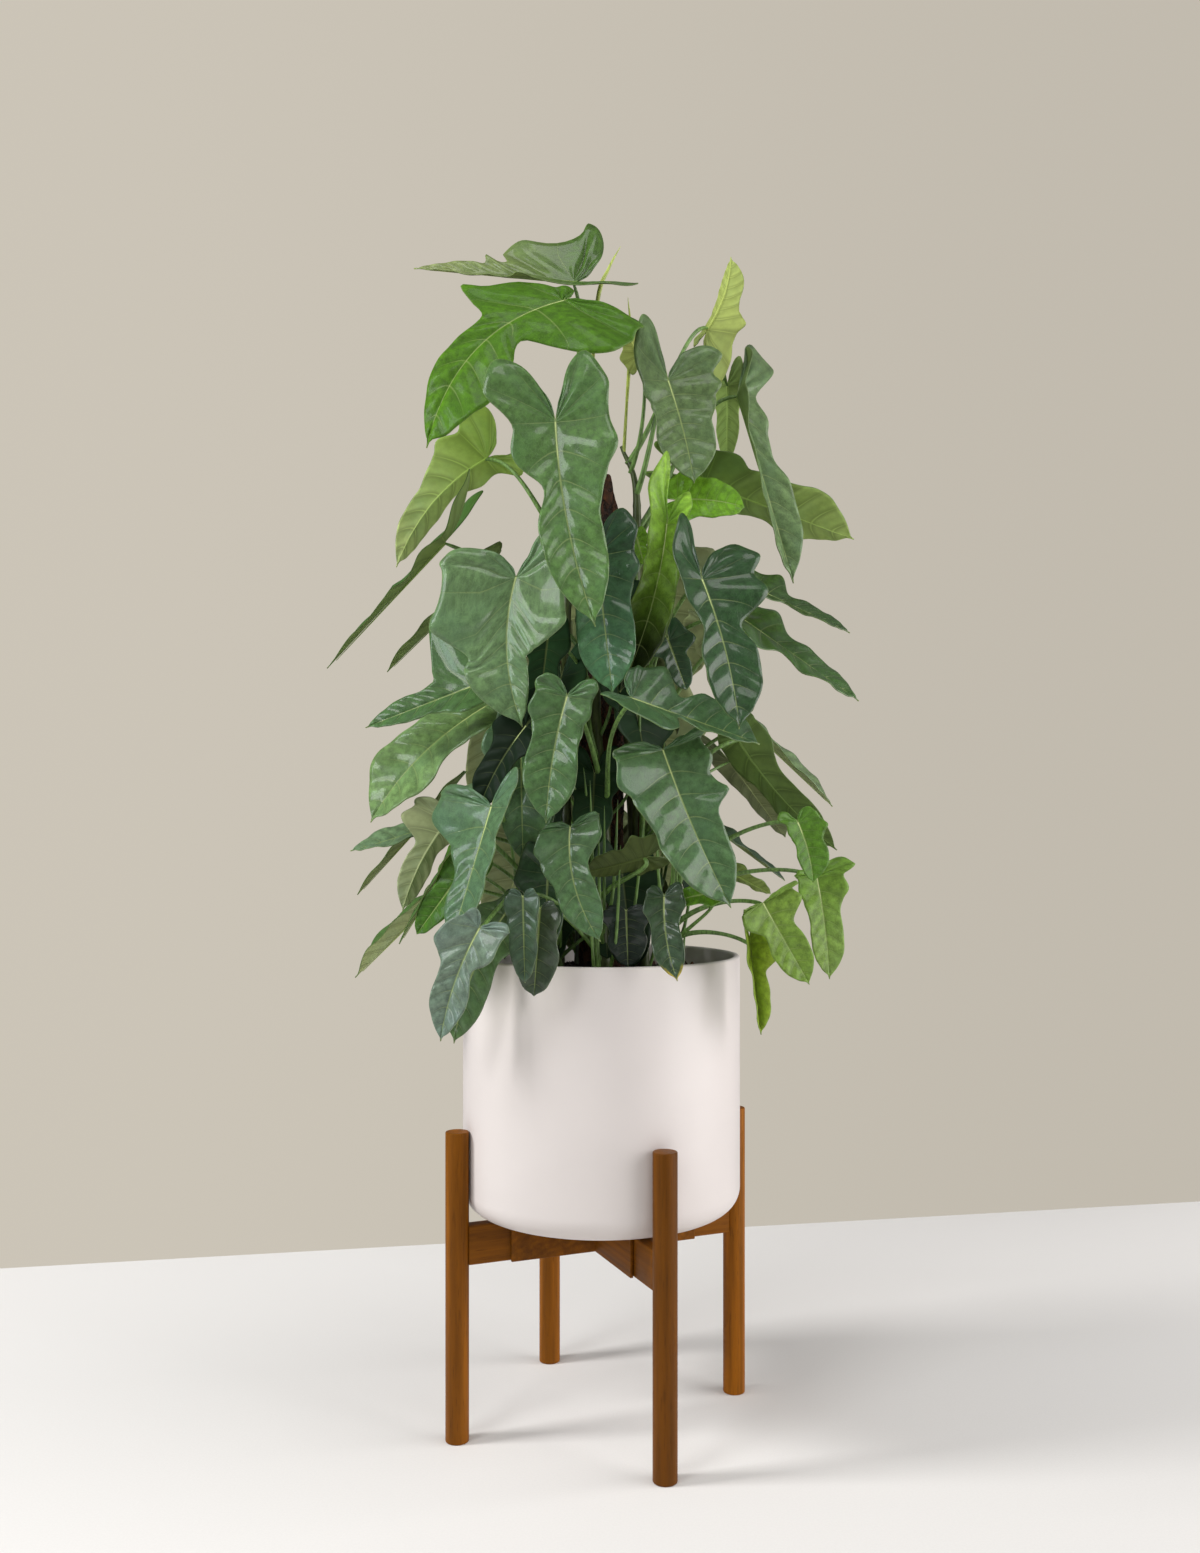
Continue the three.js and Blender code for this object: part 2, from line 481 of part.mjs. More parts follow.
// Small leaves and the leaves behind, grown in one with their stems
const STEM_LEAVES = [
  ["small_left_thin", "stem_back_left", 850, [-146, 60, 930], [-247, 60, 830], [-0.7, 0.1, 0.7], "mature",
    {"body": 0.8, "fold": 20}],
  ["small_inner", "stem_front", 790, [-55, -118, 841], [-63, -120, 775], [-0.2, -0.9, 0.3], "dark", {}],
  ["small_left_spike", "stem_back_left", 610, [-185, 25, 675], [-275, 25, 575], [-0.74, 0, 0.67], "mature",
    {"body": 0.6, "ear": 0.5, "lobe": 0.5}],
  ["small_trail", "shoot_left", 562, [-150, -110, 627], [-207, -115, 531], [-0.8, -0.1, 0.55], "pale",
    {"body": 0.6, "lobe": 0.5, "ear": 0.5, "back": 0.5}],
  ["small_fresh_left", "shoot_left", 534, [-141, -130, 605], [-187, -130, 542], [-0.3, -0.9, 0.2], "fresh",
    {}],
  ["small_rim_a", "shoot_front", 515, [-74, -190, 600], [-74, -194, 498], [-0.3, -0.9, 0.1], "dark",
    {"body": 0.6, "lobe": 0.8}],
  ["small_rim_b", "shoot_front", 506, [-65, -178, 564], [-66, -178, 485], [0, -0.97, 0.1], "edged",
    {"lober": 0.6, "earr": 0.7}],
  ["small_rim_c", "shoot_front", 526, [-54, -138, 604], [-57, -145, 522], [0.1, -0.97, 0.1], "dark",
    {"body": 0.8}],
  ["small_rim_d", "shoot_front", 510, [25, -118, 560], [27, -122, 512], [0, -0.97, 0.1], "dark", {}],
  ["small_fresh_right", "shoot_right", 512, [110, -150, 585], [68, -150, 576], [0, -0.8, 0.6], "fresh",
    {}],
  ["small_yellow", "stem_right", 900, [37, -72, 955], [45, -80, 925], [0, -0.95, 0.3], "pale", {}],
  ["small_bright", "stem_right", 930, [95, -40, 990], [123, -40, 922], [0.2, -0.9, 0.3], "fresh", {}],
  ["small_right_inner", "stem_right", 770, [69, -95, 844], [88, -98, 792], [0.1, -0.9, 0.4], "dark",
    {"ear": 1.2, "rise": 0.5}],
  ["small_right_brown", "shoot_right", 577, [131, -25, 645], [200, -25, 593], [0.6, -0.2, 0.7], "dark",
    {"body": 0.7, "lobe": 0.6, "ear": 0.7}],
  ["small_right_rim", "shoot_right", 550, [143, -35, 600], [183, -35, 579], [0.2, 0.5, 0.8], "pale", {}],
  ["small_top_pale", "stem_right", 1040, [39, -20, 1165], [22, -25, 1205], [-0.2, 0.9, 0.2], "pale", {}],
  ["small_right_dark", "stem_back_right", 960, [142, 25, 1149], [141, 20, 1062], [0.3, -0.9, 0.2], "dark",
    {"body": 0.6, "ear": 0.6, "lobe": 0.6}],
  ["back_top", "stem_back_left", 1000, [-60, 110, 1150], [-110, 190, 990], [-0.4, 0.85, 0.35], "mature", {}],
  ["back_high", "stem_back_right", 950, [50, 130, 1080], [70, 210, 910], [0.2, 0.9, 0.35], "mature", {}],
  ["back_left_a", "stem_back_left", 890, [-120, 120, 980], [-190, 190, 850], [-0.6, 0.7, 0.4], "mature", {}],
  ["back_mid", "stem_back_right", 850, [-10, 150, 930], [-30, 215, 780], [0, 0.95, 0.3], "mature", {}],
  ["back_right_a", "stem_back_right", 800, [130, 120, 900], [210, 180, 770], [0.6, 0.7, 0.35], "mature", {}],
  ["back_left_b", "stem_back_left", 740, [-110, 140, 820], [-170, 210, 680], [-0.5, 0.8, 0.35], "mature", {}],
  ["back_low", "stem_back_right", 690, [60, 150, 780], [100, 220, 640], [0.2, 0.9, 0.35], "mature", {}],
  ["back_right_b", "stem_back_right", 630, [150, 90, 720], [240, 130, 600], [0.6, 0.6, 0.45], "mature", {}],
  ["back_low_left", "shoot_back", 545, [-90, 130, 640], [-130, 200, 520], [-0.4, 0.85, 0.3], "mature", {}],
  ["back_low_right", "shoot_back", 535, [50, 140, 640], [80, 200, 530], [0.2, 0.9, 0.3], "mature", {}],
];

// Young rolled leaves at the stem tops: stem, root height, points upwards, radius
const SPEARS = [
  ["stem_left", 1055, [[-12, -16, 1130], [-4, -18, 1228], [8, -18, 1262], [21, -14, 1288]], 3.4],
  ["stem_right", 1062, [[28, -12, 1120], [32, -14, 1190], [29, -14, 1232]], 3],
];

function leafSolid([, stem, rootHeight, base, tip, facing, , shape], small) {
  const frame = leafFrame(base, tip, facing);
  const outline = small ? SMALL_OUTLINE : OUTLINE;
  const thick = small ? 2.1 : 2.7;
  const stalk = petiole(stem, rootHeight, frame, shape, shape.stalk ?? thick, small ? 4 : 5);
  return blade(frame, shape, outline).add(stalk);
}

function spearSolid([stem, rootHeight, points, radius]) {
  const path = [onStem(stem, rootHeight), ...points.map(vector)];
  const radii = path.map((_, i) => i === path.length - 1 ? 0.7 : radius * (i === 0 ? 0.9 : 1));
  return tube(path, radii, 5);
}

function leafyStem(name) {
  let solid = stemSolid(name, 0);
  for (const leaf of STEM_LEAVES) {
    if (leaf[1] === name) solid = solid.add(leafSolid(leaf, true));
  }
  for (const spear of SPEARS) {
    if (spear[0] === name) solid = solid.add(spearSolid(spear));
  }
  return solid;
}

// Climbing pole: bark chips on a stake give it a rough side
function pole(grow) {
  const random = seeded(7);
  const sides = 12;
  const rings = 16;
  const positions = [];
  const index = [];
  for (let ring = 0; ring <= rings; ring++) {
    const height = POLE_BOTTOM + (POLE_TOP - POLE_BOTTOM) * ring / rings;
    for (let k = 0; k < sides; k++) {
      const angle = 2 * Math.PI * (k + 0.5 * (ring % 2)) / sides;
      const radius = POLE_RADIUS - 2 + 3.4 * random() + grow;
      const level = height + (ring === rings ? grow : 0);
      positions.push(radius * Math.cos(angle), radius * Math.sin(angle), level);
    }
  }
  const foot = positions.length / 3;
  positions.push(0, 0, POLE_BOTTOM);
  positions.push(0, 0, POLE_TOP + 3 + grow);
  for (let ring = 0; ring < rings; ring++) {
    for (let k = 0; k < sides; k++) {
      const a = ring * sides + k;
      const b = ring * sides + (k + 1) % sides;
      index.push(a, b, a + sides, b, b + sides, a + sides);
    }
  }
  for (let k = 0; k < sides; k++) {
    const next = (k + 1) % sides;
    index.push(foot, next, k);
    index.push(foot + 1, rings * sides + k, rings * sides + next);
  }
  const geometry = new THREE.BufferGeometry();
  geometry.setAttribute('position', new THREE.Float32BufferAttribute(positions, 3));
  geometry.setIndex(index);
  return solidOf(geometry);
}

// Soil: a crumbly mound, with plain holes for the pole and the stems
function soil() {
  const random = seeded(21);
  const sides = 20;
  const radius = POT_RADIUS - POT_WALL - GAP;
  const innerCorner = POT_CORNER - POT_WALL;
  const bottom = POT_BOTTOM + POT_FLOOR + GAP;
  const rings = [
    [radius - innerCorner, bottom], [radius - innerCorner * 0.3, bottom + innerCorner * 0.3],
    [radius, bottom + innerCorner],
    [radius, SOIL_EDGE], [radius * 0.82, SOIL_EDGE + 4], [radius * 0.62, SOIL_EDGE + 7],
    [radius * 0.42, SOIL_EDGE + 10], [radius * 0.22, SOIL_EDGE + SOIL_MOUND],
  ];
  const positions = [];
  const index = [];
  const cosine = Math.cos(Math.PI / 40);
  rings.forEach(([r, height], ring) => {
    for (let k = 0; k < sides; k++) {
      const angle = 2 * Math.PI * k / sides;
      const bump = ring > 2 ? 5 * (random() - 0.5) : 0;
      positions.push(r * cosine * Math.cos(angle), r * cosine * Math.sin(angle), height + bump);
    }
  });
  const low = positions.length / 3;
  positions.push(0, 0, bottom);
  positions.push(0, 0, SOIL_EDGE + SOIL_MOUND);
  for (let ring = 0; ring < rings.length - 1; ring++) {
    for (let k = 0; k < sides; k++) {
      const a = ring * sides + k;
      const b = ring * sides + (k + 1) % sides;
      index.push(a, b, a + sides, b, b + sides, a + sides);
    }
  }
  for (let k = 0; k < sides; k++) {
    const next = (k + 1) % sides;
    index.push(low, next, k);
    index.push(low + 1, (rings.length - 1) * sides + k, (rings.length - 1) * sides + next);
  }
  const geometry = new THREE.BufferGeometry();
  geometry.setAttribute('position', new THREE.Float32BufferAttribute(positions, 3));
  geometry.setIndex(index);
  let solid = solidOf(geometry).subtract(turned([
    [0, POLE_BOTTOM - GAP], [POLE_RADIUS + 2, POLE_BOTTOM - GAP], [POLE_RADIUS + 2, 540], [0, 540],
  ], 16));
  for (const name of Object.keys(STEMS)) {
    solid = solid.subtract(stemSolid(name, GAP));
  }
  return solid;
}

// Stand
function stand() {
  const hubTop = POT_BOTTOM - GAP;
  const cheek = (HUB_WIDTH - ARM_WIDTH) / 2 - GAP;
  const hubHeight = hubTop - HUB_BOTTOM;
  const middle = (hubTop + HUB_BOTTOM) / 2;
  const turn = radians(STAND_TURN);
  let hub = box(2 * HUB_HALF, HUB_WIDTH, hubHeight, [0, 0, middle], turn)
    .add(box(HUB_WIDTH, 2 * HUB_HALF, hubHeight, [0, 0, middle], turn));
  const slot = HUB_HALF - ARM_START + 2 * GAP + 5;
  const slotWidth = HUB_WIDTH - 2 * cheek;
  const armMiddle = (ARM_TOP + ARM_BOTTOM) / 2;
  const armEnd = LEG_CIRCLE - LEG_RADIUS;
  ['front', 'right', 'back', 'left'].forEach((side, i) => {
    const angle = turn + i * Math.PI / 2;
    hub = hub.subtract(box(slot, slotWidth, hubHeight + 20,
      [ARM_START - GAP + slot / 2, 0, middle], angle));
    const centre = [LEG_CIRCLE * Math.cos(angle), LEG_CIRCLE * Math.sin(angle), 0];
    const legProfile = [
      [0, 0], [LEG_RADIUS - 1.5, 0], [LEG_RADIUS, 1.5], [LEG_RADIUS, LEG_LENGTH - 3],
      [LEG_RADIUS - 1, LEG_LENGTH - 1], [LEG_RADIUS - 3, LEG_LENGTH], [0, LEG_LENGTH],
    ];
    const leg = turned(legProfile, 14, centre);
    const grown = turned([
      [0, -1], [LEG_RADIUS + GAP, -1], [LEG_RADIUS + GAP, LEG_LENGTH], [0, LEG_LENGTH],
    ], 14, centre);
    const tenonAt = (grow) => box(TENON.depth + 10 + grow, TENON.width + 2 * grow, TENON.height + 2 * grow,
      [armEnd + (TENON.depth - 10 + grow) / 2, 0, armMiddle], angle);
    const arm = box(armEnd + 8 - ARM_START, ARM_WIDTH, ARM_TOP - ARM_BOTTOM,
      [(armEnd + 8 + ARM_START) / 2, 0, armMiddle], angle).subtract(grown).add(tenonAt(0));
    addPiece(`leg_${side}`, leg.subtract(tenonAt(GAP)), WOOD);
    addPiece(`arm_${side}`, arm, WOOD);
  });
  addPiece('stand_hub', hub, WOOD);
}

stand();
addPiece('planter', planter(), CERAMIC);
addPiece('soil', soil(), SOIL);
addPiece('climbing_pole', pole(0), BARK);
for (const name of Object.keys(STEMS)) {
  addPiece(name, leafyStem(name), STEM);
}
for (const leaf of LEAVES) {
  const [name, stem, , , , , tone] = leaf;
  addPiece(name, leafSolid(leaf, false).subtract(stemSolid(stem, GAP)), LEAF_COLOURS[tone]);
}

// The middle of the whole object's footprint is the origin
const bounds = new THREE.Box3();
for (const mesh of group.children) bounds.expandByObject(mesh);
const middle = bounds.getCenter(new THREE.Vector3());
for (const mesh of group.children) mesh.geometry.translate(-middle.x, -middle.y, -bounds.min.z);

export default group;
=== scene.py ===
"""Potted philodendron panduriforme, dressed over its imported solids.

A climbing plant with fiddle-shaped leaves grows up a bark pole in a white planter, and the planter
rests on a four-legged wooden stand. The rows of leaves and stems and the camera's place are in
millimetres, across from the planter's axis and up from the floor. Everything else is in metres.
"""

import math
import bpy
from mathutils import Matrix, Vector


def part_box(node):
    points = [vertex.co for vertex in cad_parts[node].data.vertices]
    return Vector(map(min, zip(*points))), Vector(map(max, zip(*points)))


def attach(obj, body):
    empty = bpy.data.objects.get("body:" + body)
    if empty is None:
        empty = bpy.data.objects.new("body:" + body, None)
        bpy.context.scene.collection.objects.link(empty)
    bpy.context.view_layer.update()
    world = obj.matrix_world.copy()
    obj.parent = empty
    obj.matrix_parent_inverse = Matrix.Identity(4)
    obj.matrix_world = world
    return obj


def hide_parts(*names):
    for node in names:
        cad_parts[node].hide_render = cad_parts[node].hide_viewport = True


bl_info = {
    "name": "Potted Philodendron Panduriforme",
    "version": (1, 0, 0),
    "blender": (4, 5, 0),
    "location": "View3D > Sidebar > Plant",
    "description": "Builds a climbing philodendron in a white planter on a wooden stand",
    "category": "Add Mesh",
}

import bpy
import numpy as np
from bpy.props import FloatProperty, FloatVectorProperty, IntProperty, PointerProperty
from mathutils import Vector, noise

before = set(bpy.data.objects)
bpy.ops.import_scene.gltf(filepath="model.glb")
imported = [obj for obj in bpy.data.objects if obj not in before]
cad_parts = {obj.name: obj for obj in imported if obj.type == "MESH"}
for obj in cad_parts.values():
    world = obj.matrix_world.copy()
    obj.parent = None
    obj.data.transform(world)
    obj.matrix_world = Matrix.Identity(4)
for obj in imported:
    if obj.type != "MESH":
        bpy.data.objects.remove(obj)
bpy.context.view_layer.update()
POT_LOW, POT_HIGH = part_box("planter")
POT_AXIS = (POT_LOW + POT_HIGH) / 2
HUB_LOW, HUB_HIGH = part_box("stand_hub")
LEG_LOW, LEG_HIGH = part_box("leg_front")
STAND_TURN = -67.6  # degrees from the X axis to the front leg

# A leaf's row: name, stem, height where the petiole leaves the stem, place where it meets the blade,
# place of the tip, the way the upper face looks, tone and shape. A shape names only what differs from
# the plain leaf, and a pair gives the left and the right half.
#   lobe, ear, waist, body   width of the basal lobes, the side lobes, the waist and the front
#   spike, at                width of one more pointed lobe, and its place along the midrib
#   back, lean, lift         length of the basal lobes, how far they spread and how far they rise
#   slip                     how far the side lobes slide towards the tip
#   fold                     degrees by which a half is folded up from the midrib
#   bend, arch, twist, wave  bow to the side, bow upwards, degrees of turn, ripple of the edge
#   rise, swing, sway, hook  the petiole's climb, its first turn in degrees, its ease at both ends
#   calm                     how much of the quilting is kept
#   look                     a finish other than the tone's own
#   tint, beneath            how the finish is coloured on the upper face and on the underside: the leaf's
#                            own hue with painted light, shade and highlight for where the leaf sits
#   fade                     the tip's colour over the base's, partly painted light and shade along the leaf
LARGE_LEAVES = [
    ["leaf_crown", "stem_left", 1030, [-29, -20, 1247], [-202, -40, 1254], [0, -0.707, 0.707], "mature",
     dict(tint=[0.9, 0.9, 0.45], beneath=[0.15, 0.27, 0.06], fade=[5, 2.7, 9], lobe=(1.35, 0.7),
          ear=(0.75, 0.5), waist=(0.45, 0.5), body=(0.35, 0.5), spike=(0.3, 0), at=0.45, back=(0.5, 1),
          lift=(0, 0.03), slip=0.2, fold=23)],
    ["leaf_fresh_top", "stem_front", 985, [-40, -70, 1207], [-179, -120, 1037], [-0.2, -0.85, 0.45],
     "fresh", dict(tint=[0.85, 0.74, 0.49], fade=1.25, lobe=(0.3, 0.95), ear=(0.62, 1.1), waist=(0.42, 0.5),
          body=(0.45, 0.85), spike=(0.3, 0), at=0.2, back=(0.25, 0.45), slip=(0.05, 0), fold=(12, -12),
          bend=-0.09, arch=0.1)],
    ["leaf_front_top", "stem_front", 905, [-46, -150, 1054], [-6, -185, 845], [0.05, -0.95, 0.3], "mature",
     dict(tint=[1.3, 1.25, 1.35], fade=1.2, lobe=(0.95, 0.7), ear=(0.52, 0.68), waist=(0.36, 0.8),
          body=(0.56, 0.6), back=0.85, slip=(0, 0.04), bend=-0.035)],
    ["leaf_left_top", "stem_left", 950, [-131, 35, 1069], [-233, 35, 946], [-0.5, 0.75, 0.4], "pale",
     dict(beneath=[0.72, 0.95, 0.38], fade=[2, 1.5, 3.6], lobe=(0.8, 1.15), ear=(0.45, 0.7),
          waist=(0.45, 0.8), body=0.5, back=(0.6, 0.7), bend=0.1)],
    ["leaf_left_fold", "stem_left", 870, [-171, -20, 963], [-301, -15, 825], [-0.7, -0.22, 0.69], "mature",
     dict(look="thin", calm=0.2, tint=[0.8, 0.85, 0.8], beneath=[0.5, 0.6, 0.4], lobe=0.75, ear=0.5,
          body=0.45, spike=0.3, at=0.4, lift=(0, 0.1), fold=14)],
    ["leaf_left_broad", "stem_left", 800, [-86, -140, 901], [-78, -165, 749], [-0.05, -0.95, 0.25],
     "mature", dict(tint=[2, 1.6, 2.9], lobe=(1.45, 0.8), ear=(1.2, 0.95), waist=(1.05, 0.75),
          body=(1.1, 0.5), back=(0.55, 0.8), slip=0.2, bend=-0.08)],
    ["leaf_left_mid", "stem_left", 715, [-116, -100, 803], [-245, -95, 754], [-0.3, -0.85, 0.4], "mature",
     dict(tint=[1, 1, 1.25], lobe=(1.7, 0.4), ear=(1.65, 0.6), waist=0.6, body=0.45, back=0.4, slip=0.1)],
    ["leaf_left_low", "stem_left", 650, [-123, -70, 778], [-239, -100, 656], [-0.35, -0.8, 0.45], "mature",
     dict(tint=[2.4, 1.85, 2.9], lobe=0.6, ear=(0.7, 0.6), waist=0.8, body=0.88, back=0.5, bend=-0.09)],
    ["leaf_left_dark", "stem_left", 690, [-76, -138, 752], [-125, -135, 665], [-0.3, -0.9, 0.2], "shaded",
     dict(tint=[0.4, 0.42, 0.38], lobe=0.6, ear=0.7, body=0.73, bend=-0.05)],
    ["leaf_front_mid", "stem_front", 690, [-34, -172, 778], [-54, -187, 654], [-0.05, -0.97, 0.2], "mature",
     dict(tint=[1, 1, 1.3], lobe=(0.75, 0.65), ear=(0.65, 0.55), waist=0.8, body=0.83, back=0.42,
          bend=-0.03)],
    ["leaf_low_left", "shoot_left", 592, [-109, -165, 670], [-148, -195, 530], [-0.62, -0.72, 0.25],
     "mature", dict(tint=[1.4, 1.25, 2.6], lobe=(1.2, 0.6), ear=(1.1, 0.5), waist=0.85, body=(0.5, 0.7),
          back=(0.3, 0.75), swing=-35, sway=0.6, hook=0.15)],
    ["leaf_low_mid", "stem_front", 640, [-83, -116, 749], [-79, -138, 614], [-0.1, -0.97, 0.2], "dark",
     dict(tint=[2.9, 2.2, 2.4], lobe=0.5, ear=0.7, body=(0.6, 1), back=0.5)],
    ["leaf_low_front", "shoot_front", 560, [-31, -165, 650], [-1, -185, 539], [-0.05, -0.97, 0.2], "mature",
     dict(tint=[1.15, 1.1, 1.75], lobe=0.7, ear=(0.75, 0.7), waist=(1, 0.65), body=0.68, back=0.2,
          bend=-0.09)],
    ["leaf_far_left", "stem_left", 600, [-160, -40, 663], [-268, -55, 626], [-0.3, -0.5, 0.8], "mature",
     dict(tint=[2.4, 1.8, 3.9], ear=0.5, waist=0.5, body=0.7, bend=0.05)],
    ["leaf_low_left_pale", "shoot_left", 577, [-161, -90, 656], [-206, -100, 564], [-0.4, 0.85, 0.3],
     "pale", dict(beneath=[0.95, 0.93, 1.1], lobe=(0.5, 1.1), ear=(0.5, 1), body=0.6, back=(1, 0.4),
          bend=0.06)],
    ["leaf_trailing_left", "shoot_left", 548, [-159, -60, 594], [-262, -60, 491], [-0.7, -0.1, 0.7], "pale",
     dict(look="thin", calm=0.3, tint=[1.2, 1.1, 1.3], beneath=[0.8, 0.82, 0.8], lobe=0.4, ear=0.4,
          body=0.7, back=0.4, fold=35)],
    ["leaf_rim_left", "shoot_left", 575, [-116, -212, 554], [-153, -215, 447], [-0.2, -0.95, 0.25],
     "mature", dict(tint=[2.3, 1.5, 5], lobe=(0.5, 0.75), ear=(0.75, 0.65), waist=(0.7, 0.5), body=0.65,
          back=(0.4, 0.3), slip=0.06, bend=-0.05, hook=0.15)],
    ["leaf_rim_left_back", "shoot_front", 550, [-98, -132, 562], [-148, -140, 433], [0.2, -0.95, 0.2],
     "mature", dict(tint=[1.15, 1.03, 1.5], lobe=(0.3, 0.6), ear=0.6, body=0.62, back=0.5, bend=-0.06)],
    ["leaf_rim_right", "shoot_right", 500, [62, -155, 581], [74, -178, 500], [0, -0.97, 0.2], "edged",
     dict(tint=[0.68, 0.66, 0.8], lobe=0.6, ear=0.62, body=0.72, back=0.4, bend=-0.05)],
    ["leaf_centre_pale", "shoot_front", 575, [44, -140, 620], [-17, -140, 605], [-0.1, 0.8, 0.6], "pale",
     dict(beneath=[0.18, 0.21, 0.13])],
    ["leaf_top_right", "stem_right", 1015, [71, -60, 1125], [97, -85, 1010], [0.15, -0.95, 0.3], "grey",
     dict(tint=[0.84, 0.84, 0.78], lobe=(0.85, 1.45), ear=(0.7, 1.05), waist=(1, 1.4), body=1.02,
          back=(1.75, 0.7), lean=(-0.35, 0), bend=0.02)],
    ["leaf_top_pale", "stem_right", 1050, [118, 5, 1203], [145, 15, 1288], [0.5, 0.85, 0.1], "pale",
     dict(beneath=[0.8, 0.82, 0.5], lobe=(0.3, 1.1), ear=(0.2, 1), waist=(0.4, 1), body=(0.4, 0.8),
          back=(0.6, 1.9), lean=(0, 0.3), bend=0.08, wave=0.003)],
    ["leaf_right_hanging", "stem_right", 975, [151, -10, 1127], [209, -30, 916], [0.75, -0.6, 0.25], "grey",
     dict(beneath=[0.28, 0.38, 0.22], lobe=(0.35, 0.75), ear=(0.4, 0.3), waist=0.38, body=0.52,
          back=(0.9, 1), lean=(-1, 0.6), fold=(45, 20), twist=40)],
    ["leaf_right_far", "stem_back_right", 940, [118, 50, 1046], [291, 60, 984], [0.15, 0.35, 0.93], "pale",
     dict(beneath=[0.36, 0.54, 0.22], fade=[2.55, 1.95, 3.1], lobe=0.7, ear=0.7, fold=10)],
    ["leaf_centre_dark", "stem_front", 830, [-5, -120, 927], [11, -145, 783], [0, -0.97, 0.2], "dark",
     dict(tint=[0.9, 0.9, 1], beneath=[0.2, 0.24, 0.2], fade=4, lobe=0.85, ear=0.7, waist=0.85, body=0.8,
          back=0.85)],
    ["leaf_centre_fold", "stem_right", 860, [68, -90, 966], [19, -120, 788], [0.1, -0.95, 0.3], "fresh",
     dict(tint=[3.4, 2.1, 4], fade=-0.3, lobe=0.5, ear=0.35, waist=0.6, body=0.66, back=(1, 0.5), fold=45,
          bend=0.04)],
    ["leaf_right_front", "stem_right", 790, [101, -140, 899], [133, -195, 745], [0.3, -0.9, 0.25], "dark",
     dict(tint=[0.95, 1.1, 0.75], lobe=(0.55, 1.1), ear=(0.38, 0.85), waist=(0.5, 0.6), body=(0.7, 0.75),
          back=(1.2, 0.6), lean=(-0.3, 0), bend=0.035)],
    ["leaf_right_thin", "stem_back_right", 820, [162, -66, 904], [261, -78, 855], [0.35, -0.5, 0.8],
     "mature", dict(tint=[0.6, 0.6, 0.6], lobe=0.7, body=0.6)],
    ["leaf_right_mid", "stem_right", 735, [152, -60, 871], [273, -65, 785], [0.5, -0.5, 0.7], "mature",
     dict(tint=[0.7, 0.8, 0.6], lobe=0.8, body=0.8, back=0.45, fold=6)],
    ["leaf_front_right", "stem_front", 650, [30, -168, 777], [155, -172, 732], [0, -0.6, 0.8], "mature",
     dict(tint=[0.9, 0.88, 1.5], lobe=(0.5, 0.9), ear=0.95, waist=(0.25, 0.7), body=(0.55, 1.1),
          back=(0.6, 0.3), slip=(0.15, 0), fold=15)],
    ["leaf_front_low", "stem_right", 600, [61, -153, 727], [126, -185, 572], [0.25, -0.93, 0.25], "mature",
     dict(tint=[1.05, 1.02, 1.6], lobe=0.9, ear=(0.9, 0.62), waist=(1.25, 0.95), body=(0.95, 0.65),
          spike=(0, 0.3), at=0.36, back=(0.25, 0.1), bend=-0.02)],
    ["leaf_right_low", "stem_right", 660, [158, -15, 766], [253, -20, 674], [0.65, -0.2, 0.72], "mature",
     dict(tint=[2.5, 1.75, 3.2], lobe=0.7, ear=0.8)],
    ["leaf_right_low_pale", "stem_right", 630, [143, -80, 743], [247, -80, 627], [0.5, 0.75, 0.4], "pale",
     dict(beneath=[0.26, 0.35, 0.2], lobe=0.5, ear=0.5, body=0.5, back=0.3, bend=0.05)],
    ["leaf_fresh_a", "shoot_right", 590, [199, -125, 655], [214, -130, 594], [0.3, -0.9, 0.3], "fresh",
     dict(tint=[1.15, 0.95, 1.1], ear=(0.7, 1.1), body=(0.9, 1.3), back=0.6, bend=0.05)],
    ["leaf_fresh_b", "shoot_right", 563, [223, -95, 599], [235, -105, 494], [0.2, -0.95, 0.2], "fresh",
     dict(tint=[2.1, 1.35, 2.7], fade=[1.5, 1.2, 2.4], lobe=(0.7, 1.1), ear=(0.55, 0.68), waist=0.75,
          body=0.68, back=(0.2, 0.45), bend=0.02)],
    ["leaf_fresh_c", "shoot_right", 537, [162, -140, 574], [208, -145, 493], [0.2, -0.95, 0.2], "fresh",
     dict(tint=[2.2, 1.25, 3.1], lobe=(0.7, 1.2), ear=(0.85, 0.95), body=0.84, back=0.1)],
    ["leaf_fresh_fold", "shoot_right", 524, [154, -95, 530], [165, -100, 436], [0.3, -0.9, 0.2], "fresh",
     dict(calm=0.5, tint=[5, 2.4, 4.4], body=0.8, fold=(60, 68))],
]

